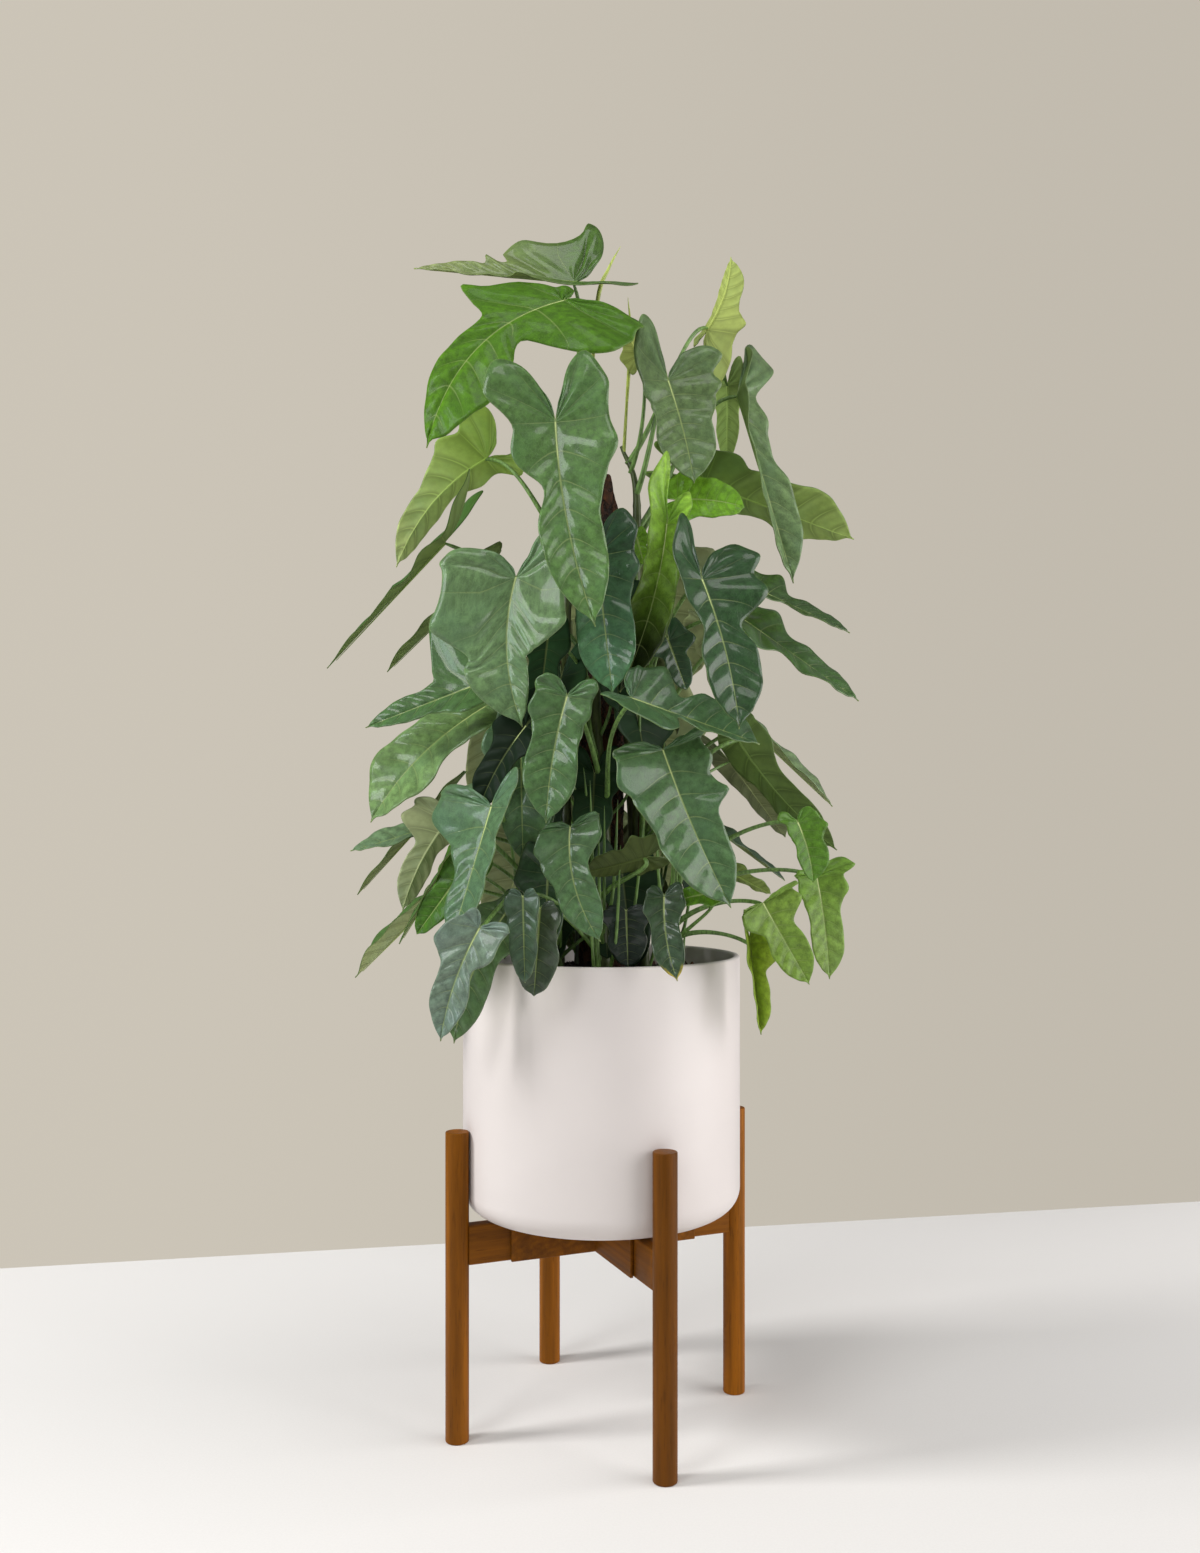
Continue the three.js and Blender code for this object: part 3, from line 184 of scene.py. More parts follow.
SMALL_LEAVES = [
    ["small_left_thin", "stem_back_left", 850, [-146, 60, 930], [-247, 60, 830], [-0.7, -0.1, 0.7],
     "mature", dict(look="thin", calm=0.2, tint=[0.8, 0.85, 0.7], beneath=[0.5, 0.6, 0.4], body=0.7,
          fold=20)],
    ["small_inner", "stem_front", 790, [-55, -118, 841], [-63, -120, 775], [-0.2, -0.9, 0.3], "shaded",
     dict(tint=[1.3, 1.3, 1.3])],
    ["small_left_spike", "stem_back_left", 610, [-185, 25, 675], [-275, 25, 575], [-0.74, 0, 0.67],
     "mature", dict(look="thin", calm=0.3, beneath=[0.55, 0.6, 0.45], lobe=0.5, ear=0.5, body=0.6)],
    ["small_trail", "shoot_left", 562, [-150, -110, 627], [-207, -115, 531], [-0.8, -0.1, 0.55], "pale",
     dict(look="thin", calm=0.3, beneath=[0.55, 0.65, 0.45], lobe=0.5, ear=0.5, body=0.6, back=0.5)],
    ["small_fresh_left", "shoot_left", 534, [-141, -130, 605], [-187, -130, 542], [-0.3, -0.9, 0.2],
     "fresh", dict(tint=[0.75, 0.7, 0.9], ear=0.7, body=0.8)],
    ["small_rim_a", "shoot_front", 515, [-76, -190, 582], [-74, -194, 500], [-0.3, -0.9, 0.1], "dark",
     dict(tint=[2.4, 1.6, 2.5], lobe=0.5, ear=0.55, waist=0.8, body=0.7, back=0.3)],
    ["small_rim_b", "shoot_front", 506, [-60, -178, 570], [-66, -178, 485], [0, -0.97, 0.1], "dark",
     dict(tint=[1.9, 1.1, 1.6], lobe=0.5, ear=0.6, waist=0.9, body=1, back=0.3)],
    ["small_rim_c", "shoot_front", 526, [-54, -138, 604], [-57, -145, 522], [0.1, -0.97, 0.1], "dark",
     dict(body=0.8)],
    ["small_rim_d", "shoot_front", 510, [25, -118, 565], [27, -122, 508], [0, -0.97, 0.1], "dark",
     dict(tint=[0.42, 0.38, 0.62], ear=1.1, waist=1.3, body=1.4, back=0.3)],
    ["small_fresh_right", "shoot_right", 512, [110, -150, 585], [68, -150, 576], [0, -0.8, 0.6], "fresh",
     dict(tint=[1.2, 1, 1])],
    ["small_yellow", "stem_right", 900, [37, -72, 955], [45, -80, 925], [0, -0.95, 0.3], "fresh",
     dict(tint=[1.6, 1.2, 1])],
    ["small_bright", "stem_right", 930, [80, -60, 998], [152, -62, 990], [0.1, -0.93, 0.35], "fresh",
     dict(tint=[2.1, 1.6, 1.6], lobe=0.9, ear=1.2, waist=1.4, body=1.3, bend=0.06)],
    ["small_right_inner", "stem_right", 770, [69, -95, 844], [88, -98, 792], [0.1, -0.9, 0.4], "dark",
     dict(ear=1.2, rise=0.5)],
    ["small_right_brown", "shoot_right", 577, [131, -25, 645], [200, -25, 593], [0.6, -0.2, 0.7], "dark",
     dict(lobe=0.6, ear=0.7, body=0.7)],
    ["small_right_rim", "shoot_right", 550, [143, -35, 600], [183, -35, 579], [0.2, 0.5, 0.8], "pale",
     dict(beneath=[0.7, 0.8, 0.5])],
    ["small_top_pale", "stem_right", 1040, [39, -20, 1165], [22, -25, 1205], [-0.2, 0.9, 0.2], "pale",
     dict(beneath=[0.8, 0.8, 0.5])],
    ["small_right_dark", "stem_back_right", 960, [142, 25, 1149], [141, 20, 1062], [0.3, 0.9, 0.2], "pale",
     dict(beneath=[0.6, 0.75, 0.45], lobe=0.6, ear=0.6, body=0.6)],
    ["back_top", "stem_back_left", 970, [-31, 110, 1112], [-27, 190, 935], [-0.1, 0.85, 0.35], "mature",
     dict(lobe=0.5, ear=0.45, body=0.8, back=0.3)],
    ["back_high", "stem_back_right", 870, [71, 130, 973], [112, 210, 838], [0.2, 0.9, 0.35], "mature",
     dict(lobe=0.6, back=0.4)],
    ["back_left_a", "stem_back_left", 850, [-121, 120, 923], [-164, 190, 810], [-0.6, 0.7, 0.4], "mature",
     dict(lobe=0.5, ear=0.7, back=0.3)],
    ["back_mid", "stem_back_right", 850, [-10, 150, 930], [-30, 215, 780], [0, 0.95, 0.3], "mature", {}],
    ["back_right_a", "stem_back_right", 800, [124, 120, 899], [178, 180, 785], [0.6, 0.7, 0.35], "mature",
     dict(lobe=0.5, ear=0.65, back=0.3)],
    ["back_left_b", "stem_back_left", 740, [-110, 140, 820], [-160, 210, 690], [-0.5, 0.8, 0.35], "mature",
     dict(lobe=0.6, ear=0.7, body=0.7)],
    ["back_low", "stem_back_right", 690, [60, 150, 780], [100, 220, 640], [0.2, 0.9, 0.35], "mature", {}],
    ["back_right_b", "stem_back_right", 630, [150, 90, 730], [222, 130, 640], [0.6, 0.6, 0.45], "mature",
     dict(lobe=0.6, ear=0.7, body=0.7)],
    ["back_low_left", "shoot_back", 545, [-90, 130, 640], [-130, 200, 520], [-0.4, 0.85, 0.3], "mature", {}],
    ["back_low_right", "shoot_back", 535, [50, 140, 640], [80, 200, 530], [0.2, 0.9, 0.3], "mature", {}],
]

# Stems: points from the soil upwards
STEMS = {
    "stem_left": [[-50, -14, 446], [-46, -12, 520], [-39, -20, 640], [-42, -8, 780], [-38, -14, 900],
                  [-36, -10, 1010], [-22, -6, 1062]],
    "stem_front": [[-6, -54, 446], [-4, -46, 520], [4, -40, 640], [-6, -41, 780], [2, -39, 900],
                   [-4, -38, 1005]],
    "stem_right": [[52, -20, 446], [45, -20, 520], [39, -12, 640], [42, -18, 780], [38, -10, 900],
                   [38, -12, 1020], [22, -8, 1070]],
    "stem_back_left": [[-26, 50, 446], [-24, 44, 520], [-18, 38, 640], [-26, 36, 780], [-18, 38, 900],
                       [-20, 34, 1012]],
    "stem_back_right": [[34, 46, 446], [32, 40, 520], [36, 30, 640], [28, 36, 780], [34, 30, 900],
                        [30, 32, 985]],
    "shoot_left": [[-52, -74, 450], [-56, -78, 510], [-61, -82, 560], [-66, -84, 606]],
    "shoot_right": [[62, -66, 450], [66, -70, 510], [72, -74, 560], [78, -76, 606]],
    "shoot_front": [[4, -92, 450], [3, -96, 510], [0, -98, 550], [-4, -100, 590]],
    "shoot_back": [[4, 92, 450], [3, 96, 505], [0, 99, 530], [-3, 100, 550]],
}

# Young rolled leaves at the stem tops: stem, root height, points upwards, radius
SPEARS = [
    ["stem_left", 1055, [[-12, -16, 1130], [-4, -18, 1228], [8, -18, 1262], [21, -14, 1288]], 2.5],
    ["stem_right", 1062, [[28, -12, 1120], [32, -14, 1190], [29, -14, 1232]], 2.3],
]

# Half of a fiddle-shaped outline: across and along as parts of the midrib's length, and the foot
# on the midrib of the vein that ends there, which is the base for all of a basal lobe
FIDDLE = [
    [0.045, -0.16, 0], [0.15, -0.33, 0], [0.27, -0.37, 0], [0.36, -0.20, 0], [0.375, 0.00, 0],
    [0.42, 0.14, 0.06], [0.32, 0.24, 0.14], [0.235, 0.35, 0.24], [0.26, 0.56, 0.43],
    [0.235, 0.74, 0.62], [0.125, 0.89, 0.82], [0.02, 0.965, 0.95],
]
YOUNG_FIDDLE = [
    [0.12, -0.30, 0], [0.29, -0.36, 0], [0.38, -0.05, 0], [0.42, 0.14, 0.06], [0.25, 0.33, 0.2],
    [0.26, 0.58, 0.43], [0.15, 0.88, 0.8], [0.035, 0.97, 0.94],
]

BASAL_VEINS = 4
FRONT_VEINS = 7
VEIN_SCALE = 12.0  # what the vein count is divided by, so that its map stays within 0 and 1
EDGE_REACH = 0.2  # part of the length over which a blade softens from midrib to edge
CREASE = 0.02  # half width of the soft crease along the midrib, as a part of the length
OUTLINE_STEPS = 20  # steps between two points of an outline
NORMAL_STEP = 0.004  # how far apart two points of a blade are that give its normal
GOLDEN_ANGLE = 137.5  # degrees from one leaf to the next one up a stem

RIM_RISE = 0.0005  # how far the glazed rim stands over the solid's
SOIL_GAP = 0.0002  # between the soil and the planter's wall
SOIL_BASE = 0.02  # height of the soil's underside over the planter's floor
POLE_SUNK = 0.02  # how far the dressed pole reaches down into the soil
BARK_SEED = 7  # without a seed, the bark would differ from run to run
CHIP_HEIGHT = 0.0042  # how far a bark chip stands out of the pole
FIBRE_HEIGHT = 0.0011  # how rough the bark is between its chips
BROKEN_LENGTH = 0.055  # how far down the pole's broken top reaches
BROKEN_DEPTH = 0.038  # how much of it is gone on the broken side
HUB_GAP = 0.0003  # between an arm and the hub's bars
ARM_END = 0.82  # part of a leg's radius from the leg's axis to the end of its arm

# How the veins show on the two faces of a leaf: their width, the painted shade in the grooves that
# they lie in, how strong a side vein is at its foot and its end, and the relief of side veins and midrib
UPPER_FACE = {"width": 0.05, "groove_shade": 0.35, "strength": (0.36, 0.16), "relief": (-0.7, -0.6)}
UNDER_FACE = {"width": 0.075, "groove_shade": 0.7, "strength": (0.75, 0.5), "relief": (0.9, 0.8)}

# The camera of the photograph and its lens
CAMERA_PLACE = [-1.6, -1487, 644]
CAMERA_LENS = 31.13
CAMERA_SHIFT = 0.0366

# Soft lights: name, place, aim, width, height, watts, colour, and whether gloss shows the light.
# The one that is named gloss shows nowhere else.
LIGHTS = [
    ("left_softbox", (-2.2, -0.5, 2.0), (0, 0, 0.4), 0.6, 0.7, 58, (1.0, 0.99, 0.99), False),
    ("window", (-1.5, -1.9, 2.3), (0, 0, 0.9), 0.9, 1.2, 25, (0.97, 0.99, 1.0), True),
    ("right_softbox", (2.5, -0.6, 1.2), (0, 0, 0.6), 2.4, 2.6, 72, (1.0, 0.98, 0.98), True),
    ("top_softbox", (0.2, -1.0, 3.0), (0, 0, 0.9), 1.2, 1.0, 13, (1.0, 1.0, 0.98), True),
    ("front_fill", (0.3, -3.2, 1.0), (0, 0, 0.6), 2.4, 1.6, 5, (1.0, 0.99, 0.98), False),
    ("left_gloss", (-2.0, -1.4, 1.5), (0, 0, 0.8), 0.45, 1.5, 16, (0.84, 0.93, 1.0), True),
]


def linear(code):
    """The linear colour of a hex code such as 0x8C5C26."""
    parts = [(code >> shift & 255) / 255 for shift in (16, 8, 0)]
    return [part / 12.92 if part <= 0.04045 else ((part + 0.055) / 1.055) ** 2.4 for part in parts]


def tinted(base, amount):
    """The colour made lighter or darker."""
    return [min(1.0, part * amount) for part in base]


def length(name, description, default):
    """A length property, in metres."""
    return FloatProperty(name=name, description=description, default=default, min=0.0, max=2.0,
                         unit="LENGTH", precision=4)


def colour(name, description, code):
    """A colour property that starts at a hex code."""
    return FloatVectorProperty(name=name, description=description, subtype="COLOR", size=3,
                               min=0.0, max=1.0, default=linear(code))


class PlanterSizes(bpy.types.PropertyGroup):
    """Sizes of the planter and what fills it"""

    wall: length("Wall", "Thickness of the planter's wall", 0.007)
    floor: length("Floor", "Thickness of the planter's floor", 0.009)
    corner: length("Corner", "Radius of the rounded bottom edge", 0.026)
    soil_edge: length("Soil edge", "Height of the soil at the wall", 0.484)
    soil_mound: length("Soil mound", "How far the soil rises towards the pole", 0.012)
    pole_radius: length("Pole radius", "Radius of the bark pole", 0.025)
    crumbs: IntProperty(name="Crumbs", description="Number of loose crumbs on the soil",
                        default=260, min=0, max=2000)


class StandSizes(bpy.types.PropertyGroup):
    """Sizes of the wooden stand"""

    leg_radius: length("Leg radius", "Radius of a leg", 0.0125)
    leg_circle: length("Leg circle", "Distance of a leg from the middle", 0.1655)
    hub_half: length("Hub half", "Half the hub's length", 0.109)
    hub_width: length("Hub width", "Width of the hub's bars", 0.026)
    arm_width: length("Arm width", "Width of an arm", 0.018)
    arm_start: length("Arm start", "Distance of an arm's inner end from the middle", 0.036)
    edge: length("Worn edge", "Width of the eased edges", 0.0014)


class LeafSizes(bpy.types.PropertyGroup):
    """Form of the leaves and stems"""

    blade: length("Blade", "Thickness of a leaf blade", 0.001)
    quilting: FloatProperty(name="Quilting", default=0.013, min=0.0, max=0.05,
                            description="Rise between side veins, as a part of the length")
    waviness: FloatProperty(name="Waviness", default=0.014, min=0.0, max=0.05,
                            description="Waves of the edge, as a part of the length")
    petiole: length("Petiole", "Radius of a large leaf's petiole", 0.0027)
    small_petiole: length("Small petiole", "Radius of a small leaf's petiole", 0.0021)
    stem: length("Stem", "Radius of a climbing stem", 0.0065)
    shoot: length("Shoot", "Radius of a young shoot", 0.0075)
    rows: IntProperty(name="Rows", description="Steps along half of a blade's edge", default=76,
                      min=12, max=200)
    columns: IntProperty(name="Columns", description="Steps from the midrib to the edge", default=13,
                         min=4, max=60)


class LeafColours(bpy.types.PropertyGroup):
    """Colours of leaves and stems"""

    mature: colour("Mature", "Upper face of a grown leaf", 0x42622C)
    dark: colour("Dark", "Upper face of a leaf in the shade", 0x274326)
    fresh: colour("Fresh", "Upper face of a young leaf", 0x467619)
    # Painted light: the grey is a lighter, greyer copy of the mature green for leaves in the window's light
    grey: colour("Grey", "Upper face of a grey-green leaf", 0x5E7649)
    edged: colour("Edged", "Upper face of an old leaf with a yellow edge", 0x3B5630)
    under: colour("Underside", "Under face of a leaf", 0xABB87C)
    midrib: colour("Midrib", "Midrib of a leaf", 0x93A563)
    yellowed: colour("Yellowed", "Edge of an old leaf", 0xA8993A)
    stalk: colour("Petiole", "Petioles and thin shoots", 0x628241)
    stem: colour("Stem", "Climbing stems", 0x48532E)
    spear: colour("Rolled leaf", "A young leaf that is still rolled", 0x9DAB50)


class SetColours(bpy.types.PropertyGroup):
    """Colours of the planter, the soil, the bark and the stand"""

    glaze: colour("Glaze", "Planter", 0xD9D2CF)
    wood: colour("Wood", "Stand", 0x844E0B)
    wood_dark: colour("Dark grain", "Grain of the stand", 0x4C2B05)
    soil: colour("Soil", "Potting soil", 0x2B1E16)
    bark: colour("Bark", "Chips of bark on the pole", 0x52311F)
    floor: colour("Floor", "Floor of the studio", 0xE1DFDC)
    backdrop: colour("Backdrop", "Back of the studio", 0xC8C1B4)


def curve_through(knots, steps):
    """A smooth curve through the rows of an array, with so many steps between two of them."""
    knots = np.asarray(knots, float)
    padded = np.vstack([2 * knots[0] - knots[1], knots, 2 * knots[-1] - knots[-2]])
    t = (np.arange(steps) / steps)[:, None]
    parts = []
    for a, b, c, d in zip(padded, padded[1:], padded[2:], padded[3:]):
        bow = 2 * a - 5 * b + 4 * c - d + t * (3 * (b - c) + d - a)
        parts.append(b + 0.5 * t * (c - a + t * bow))
    return np.vstack(parts + [knots[-1:]])


def in_frame(points):
    """Points in millimetres from the planter's axis, as metres in the frame."""
    return np.asarray(points, float) / 1000 + (POT_AXIS.x, POT_AXIS.y, 0)


def unit(vector):
    """The vector with a length of one."""
    return vector / np.linalg.norm(vector)


def heading(angle):
    """The level unit vector at an angle from the X axis."""
    return np.array([math.cos(angle), math.sin(angle), 0])


def named(piece, name):
    """Gives the object and its mesh the same name."""
    piece.name = name
    piece.data.name = name
    return piece


def add_object(name, data):
    """A new object in the scene, at the origin."""
    made = bpy.data.objects.new(name, data)
    bpy.context.scene.collection.objects.link(made)
    return made


def deselect():
    """Frees the selection, as the frame leaves its own pieces selected."""
    bpy.ops.object.select_all(action="DESELECT")


def select_only(*pieces):
    """Selects these pieces and makes the first one active."""
    deselect()
    for piece in pieces:
        piece.select_set(True)
    bpy.context.view_layer.objects.active = pieces[0]


def new_primitive(name):
    """Names the primitive that was just added, and puts its place into its mesh."""
    piece = named(bpy.context.object, name)
    bpy.ops.object.transform_apply(location=True, rotation=True, scale=True)
    return piece


def add_cylinder(name, vertices, radius, low, high, x=POT_AXIS.x, y=POT_AXIS.y):
    """An upright cylinder between two heights, on the planter's axis if no other is given."""
    deselect()
    bpy.ops.mesh.primitive_cylinder_add(vertices=vertices, radius=radius, depth=high - low,
                                        location=(x, y, (low + high) / 2))
    return new_primitive(name)


def select_faces(piece, wanted):
    """Enters edit mode with the faces selected whose middle and normal are wanted."""
    bpy.ops.object.mode_set(mode="EDIT")
    bpy.ops.mesh.select_mode(type="FACE")
    bpy.ops.mesh.select_all(action="DESELECT")
    bpy.ops.object.mode_set(mode="OBJECT")
    for face in piece.data.polygons:
        face.select = bool(wanted(face.center, face.normal))
    bpy.ops.object.mode_set(mode="EDIT")


def select_edges(piece, wanted):
    """Enters edit mode with the edges selected whose two ends are wanted."""
    bpy.ops.object.mode_set(mode="EDIT")
    bpy.ops.mesh.select_mode(type="EDGE")
    bpy.ops.mesh.select_all(action="DESELECT")
    bpy.ops.object.mode_set(mode="OBJECT")
    places = [vertex.co for vertex in piece.data.vertices]
    for edge in piece.data.edges:
        first, last = edge.vertices
        edge.select = bool(wanted(places[first], places[last]))
    bpy.ops.object.mode_set(mode="EDIT")


def leave_edit():
    """Goes back to object mode."""
    bpy.ops.object.mode_set(mode="OBJECT")


def on_circle(height, radius, x=POT_AXIS.x, y=POT_AXIS.y):
    """A test that tells whether both ends of an edge lie on a level circle."""
    def wanted(*ends):
        return all(abs(end.z - height) < 1e-5
                   and abs(math.hypot(end.x - x, end.y - y) - radius) < 1e-4 for end in ends)
    return wanted


def round_edges(piece, wanted, width, segments):
    """Rounds the wanted edges with a bevel."""
    select_edges(piece, wanted)
    bpy.ops.mesh.bevel(offset=width, segments=segments, affect="EDGES")
    leave_edit()


def apply_modifier(piece, kind, **settings):
    """Adds a modifier, sets it and applies it."""
    modifier = piece.modifiers.new(kind.title(), kind)
    for key, value in settings.items():
        setattr(modifier, key, value)
    bpy.context.view_layer.objects.active = piece
    bpy.ops.object.modifier_apply(modifier=modifier.name)


def smooth(piece, degrees=None):
    """Shades the piece smooth, all over or only across edges that turn less than an angle."""
    select_only(piece)
    if degrees is None:
        bpy.ops.object.shade_smooth()
    else:
        bpy.ops.object.shade_smooth_by_angle(angle=math.radians(degrees))


def points_of(piece):
    """The mesh's vertices as rows of an array."""
    flat = np.empty(len(piece.data.vertices) * 3)
    piece.data.vertices.foreach_get("co", flat)
    return flat.reshape(-1, 3)


def set_points(piece, points):
    """Moves the mesh's vertices to the rows of an array."""
    piece.data.vertices.foreach_set("co", np.ascontiguousarray(points).ravel())
    piece.data.update()


def add_tube(name, points, radii, resolution=3):
    """A closed round tube through points in metres."""
    data = bpy.data.curves.new(name, "CURVE")
    data.dimensions = "3D"
    data.bevel_depth = 1.0
    data.bevel_resolution = resolution
    data.use_fill_caps = True
    spline = data.splines.new("POLY")
    spline.points.add(len(points) - 1)
    for point, place, radius in zip(spline.points, points, radii):
        point.co = (*place, 1.0)
        point.radius = radius
    select_only(add_object(name, data))
    bpy.ops.object.convert(target="MESH")
    bpy.ops.object.shade_smooth()
    return bpy.context.object


def join(name, pieces):
    """Joins pieces into the first one."""
    select_only(*pieces)
    if len(pieces) > 1:
        bpy.ops.object.join()
    return named(bpy.context.view_layer.objects.active, name)


def painted(piece, *looks):
    """The piece with its materials."""
    for look in looks:
        piece.data.materials.append(look)
    return piece


def finish_piece(piece, slot, *nodes):
    """The piece rides on the frame in the place of its CAD nodes."""
    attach(piece, "root")
    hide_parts(*nodes)


def scene_name(node):
    """The dressed piece's name: leaf_crown is crown_leaf."""
    kind, rest = node.split("_", 1)
    return rest + "_" + kind


class Finish:
    """A material whose nodes are added one by one; a value is a number, a colour or a socket."""

    def __init__(self, name):
        self.material = bpy.data.materials.new(name)
        self.material.use_nodes = True
        self.tree = self.material.node_tree
        self.shader = self.tree.nodes["Principled BSDF"]

    def feed(self, socket, value):
        """Links a socket or sets a number or a colour."""
        if isinstance(value, bpy.types.NodeSocket):
            self.tree.links.new(value, socket)
        elif socket.type == "RGBA" and len(value) == 3:
            socket.default_value = (*value, 1.0)
        else:
            socket.default_value = value

    def add(self, kind, settings=(), **inputs):
        """Adds a node; its settings are pairs, and its inputs are given by name."""
        made = self.tree.nodes.new("ShaderNode" + kind)
        for key, value in settings:
            setattr(made, key, value)
        for key, value in inputs.items():
            self.feed(made.inputs[key.replace("_", " ")], value)
        return made

    def math(self, operation, *values):
        """One step of arithmetic."""
        made = self.add("Math", [("operation", operation)])
        for socket, value in zip(made.inputs, values):
            self.feed(socket, value)
        return made.outputs[0]

    def times(self, first, second):
        """The product of two values."""
        return self.math("MULTIPLY", first, second)

    def heights(self, *parts):
        """Adds up pairs of a value and its amount."""
        total = 0.0
        for value, amount in parts:
            total = self.math("MULTIPLY_ADD", value, amount, total)
        return total

    def mix(self, factor, first, second, blend="MIX"):
        """Mixes two colours; the node's colour sockets are 6 and 7, and its colour output is 2."""
        made = self.add("Mix", [("data_type", "RGBA"), ("blend_type", blend)])
        for place, value in ((0, factor), (6, first), (7, second)):
            self.feed(made.inputs[place], value)
        return made.outputs[2]

    def ramp(self, value, low, high, to_low=0.0, to_high=1.0):
        """Maps low..high smoothly onto two new ends."""
        made = self.add("MapRange", [("interpolation_type", "SMOOTHSTEP")], Value=value,
                        From_Min=low, From_Max=high, To_Min=to_low, To_Max=to_high)
        return made.outputs[0]

    def shades(self, value, low, high, base, dark, light):
        """The base colour from dark to light as a value climbs."""
        return self.mix(self.ramp(value, low, high), tinted(base, dark), tinted(base, light))

    def stained(self, under, value, low, high, most, colour):
        """Lets another colour in where a value is high."""
        return self.mix(self.ramp(value, low, high, 0.0, most), under, colour)

    def noise(self, vector, scale, detail=4.0, roughness=0.55, output="Fac"):
        """Cloudy noise."""
        return self.add("TexNoise", Vector=vector, Scale=scale, Detail=detail,
                        Roughness=roughness).outputs[output]

    def cells(self, vector, scale):
        """How far a point is from the edge of its cell."""
        return self.add("TexVoronoi", [("feature", "DISTANCE_TO_EDGE")], Vector=vector,
                        Scale=scale).outputs["Distance"]

    def place(self):
        """The object's own coordinates."""
        return self.add("TexCoord").outputs["Object"]

    def uv(self, name):
        """One of the piece's UV maps."""
        return self.add("UVMap", [("uv_map", name)]).outputs[0]

    def parts(self, vector):
        """The X, Y and Z of a vector."""
        return self.add("SeparateXYZ", Vector=vector).outputs

    def mapped(self, vector, **settings):
        """Coordinates that are stretched by Scale or turned by Rotation."""
        return self.add("Mapping", Vector=vector, **settings).outputs["Vector"]

    def bump(self, height, strength, distance):
        """A normal that is tilted by a height."""
        return self.add("Bump", Height=height, Strength=strength, Distance=distance).outputs["Normal"]

    def end(self, **inputs):
        """Feeds the shader and gives the material back."""
        for key, value in inputs.items():
            self.feed(self.shader.inputs[key.replace("_", " ")], value)
        return self.material


def leaf_finish(name, base, colours, gloss=1.0, under=False, yellow_edge=False):
    """Leaf tissue: mottled green with a pale midrib, fine side veins and a thin light margin; painted shade
    in the grooves along the veins, and painted light and shade from the leaf's tint attribute.
    """
    made = Finish(name)
    plain = gloss <= 0.1
    face = UNDER_FACE if under else UPPER_FACE
    veins = made.parts(made.uv("veins"))
    outwards, along = veins["X"], veins["Y"]
    plan = made.uv("plan")
    count = made.times(along, VEIN_SCALE)
    off_vein = made.math("PINGPONG", count, 0.5)
    vein_width = made.ramp(outwards, 0.0, 1.0, face["width"], 0.012)
    side_vein = made.ramp(made.math("DIVIDE", off_vein, vein_width), 0.0, 1.0, 1.0, 0.0)
    fine_vein = made.math("PINGPONG", made.times(count, 4.0), 0.5)
    slender = made.ramp(along, 0.3, 0.95, 1.15, 0.4)
    off_rib = made.math("DIVIDE", made.math("ABSOLUTE", made.parts(plan)["X"]), slender)
    midrib = made.ramp(off_rib, 0.0007, 0.0015, 1.0, 0.0)
    mottle = made.noise(plan, 120.0, 6.0, 0.62)
    net = made.ramp(made.cells(plan, 300.0), 0.0, 0.1, 1.0, 0.0)
    green = made.shades(mottle, 0.3, 0.72, base, *((0.9, 1.1) if plain else (0.62, 1.38)))
    blue = [base[0] * 0.9, base[1], base[2] * 1.3]
    green = made.stained(green, made.noise(plan, 16.0, 3.0), 0.42, 0.68, 0.55, blue)
    specks = made.noise(plan, 700.0, 2.0)
    green = made.stained(green, specks, 0.58, 0.75, 0.02 if plain else 0.34, tinted(base, 1.8))
    green = made.mix(made.times(fine_vein, 0.14), green, tinted(base, 1.3))
    green = made.mix(made.times(net, 0.05 if plain else 0.24), green, tinted(base, 1.45))
    # Painted shade: the green darkens in the grooves that the veins lie in
    groove_shade = made.ramp(off_vein, 0.04, 0.26, face["groove_shade"], 0.0)
    green = made.mix(groove_shade, green, tinted(base, 0.62))
    # The tint attribute brings each leaf's own hue together with painted light, shade and highlight
    tint = made.add("Attribute", [("attribute_name", "tint")]).outputs["Vector"]
    if not under:
        green = made.mix(1.0, green, tint, "MULTIPLY")
    # On the matte upper faces the midrib is dimmed: painted shade for the leaves that sit in shadow
    rib = tinted(base, 1.35) if under else tinted(colours.midrib, min(1.0, 0.35 + 2 * gloss))
    strength = made.ramp(outwards, 0.3, 1.0, *face["strength"])
    green = made.mix(made.times(side_vein, strength), green, rib)
    green = made.mix(made.times(midrib, 0.6), green, rib)
    green = made.stained(green, outwards, 0.985, 0.999, 0.22, rib)
    if yellow_edge:
        near_tip = made.ramp(along, 0.62, 0.9)
        spread = made.times(made.ramp(outwards, 0.45, 1.0), near_tip)
        ragged = made.times(spread, made.ramp(mottle, 0.2, 0.7, 0.7, 1.3))
        green = made.mix(made.ramp(ragged, 0.4, 0.95), green, colours.yellowed)
    if under:
        green = made.mix(1.0, green, tint, "MULTIPLY")
    vein_relief, rib_relief = face["relief"]
    relief = made.heights((side_vein, vein_relief), (midrib, rib_relief), (fine_vein, 0.18),
                          (net, -0.35), (made.noise(plan, 90.0, 2.0), 1.6))
    least = 0.44 - 0.1 * gloss
    return made.end(Base_Color=green, Roughness=made.ramp(mottle, 0.25, 0.75, least, least + 0.16),
                    Normal=made.bump(relief, min(0.6, 0.1 + 1.8 * gloss), 0.0005),
                    Specular_IOR_Level=0.16 + 0.16 * gloss, Coat_Weight=0.46 * gloss,
                    Coat_Roughness=0.11)


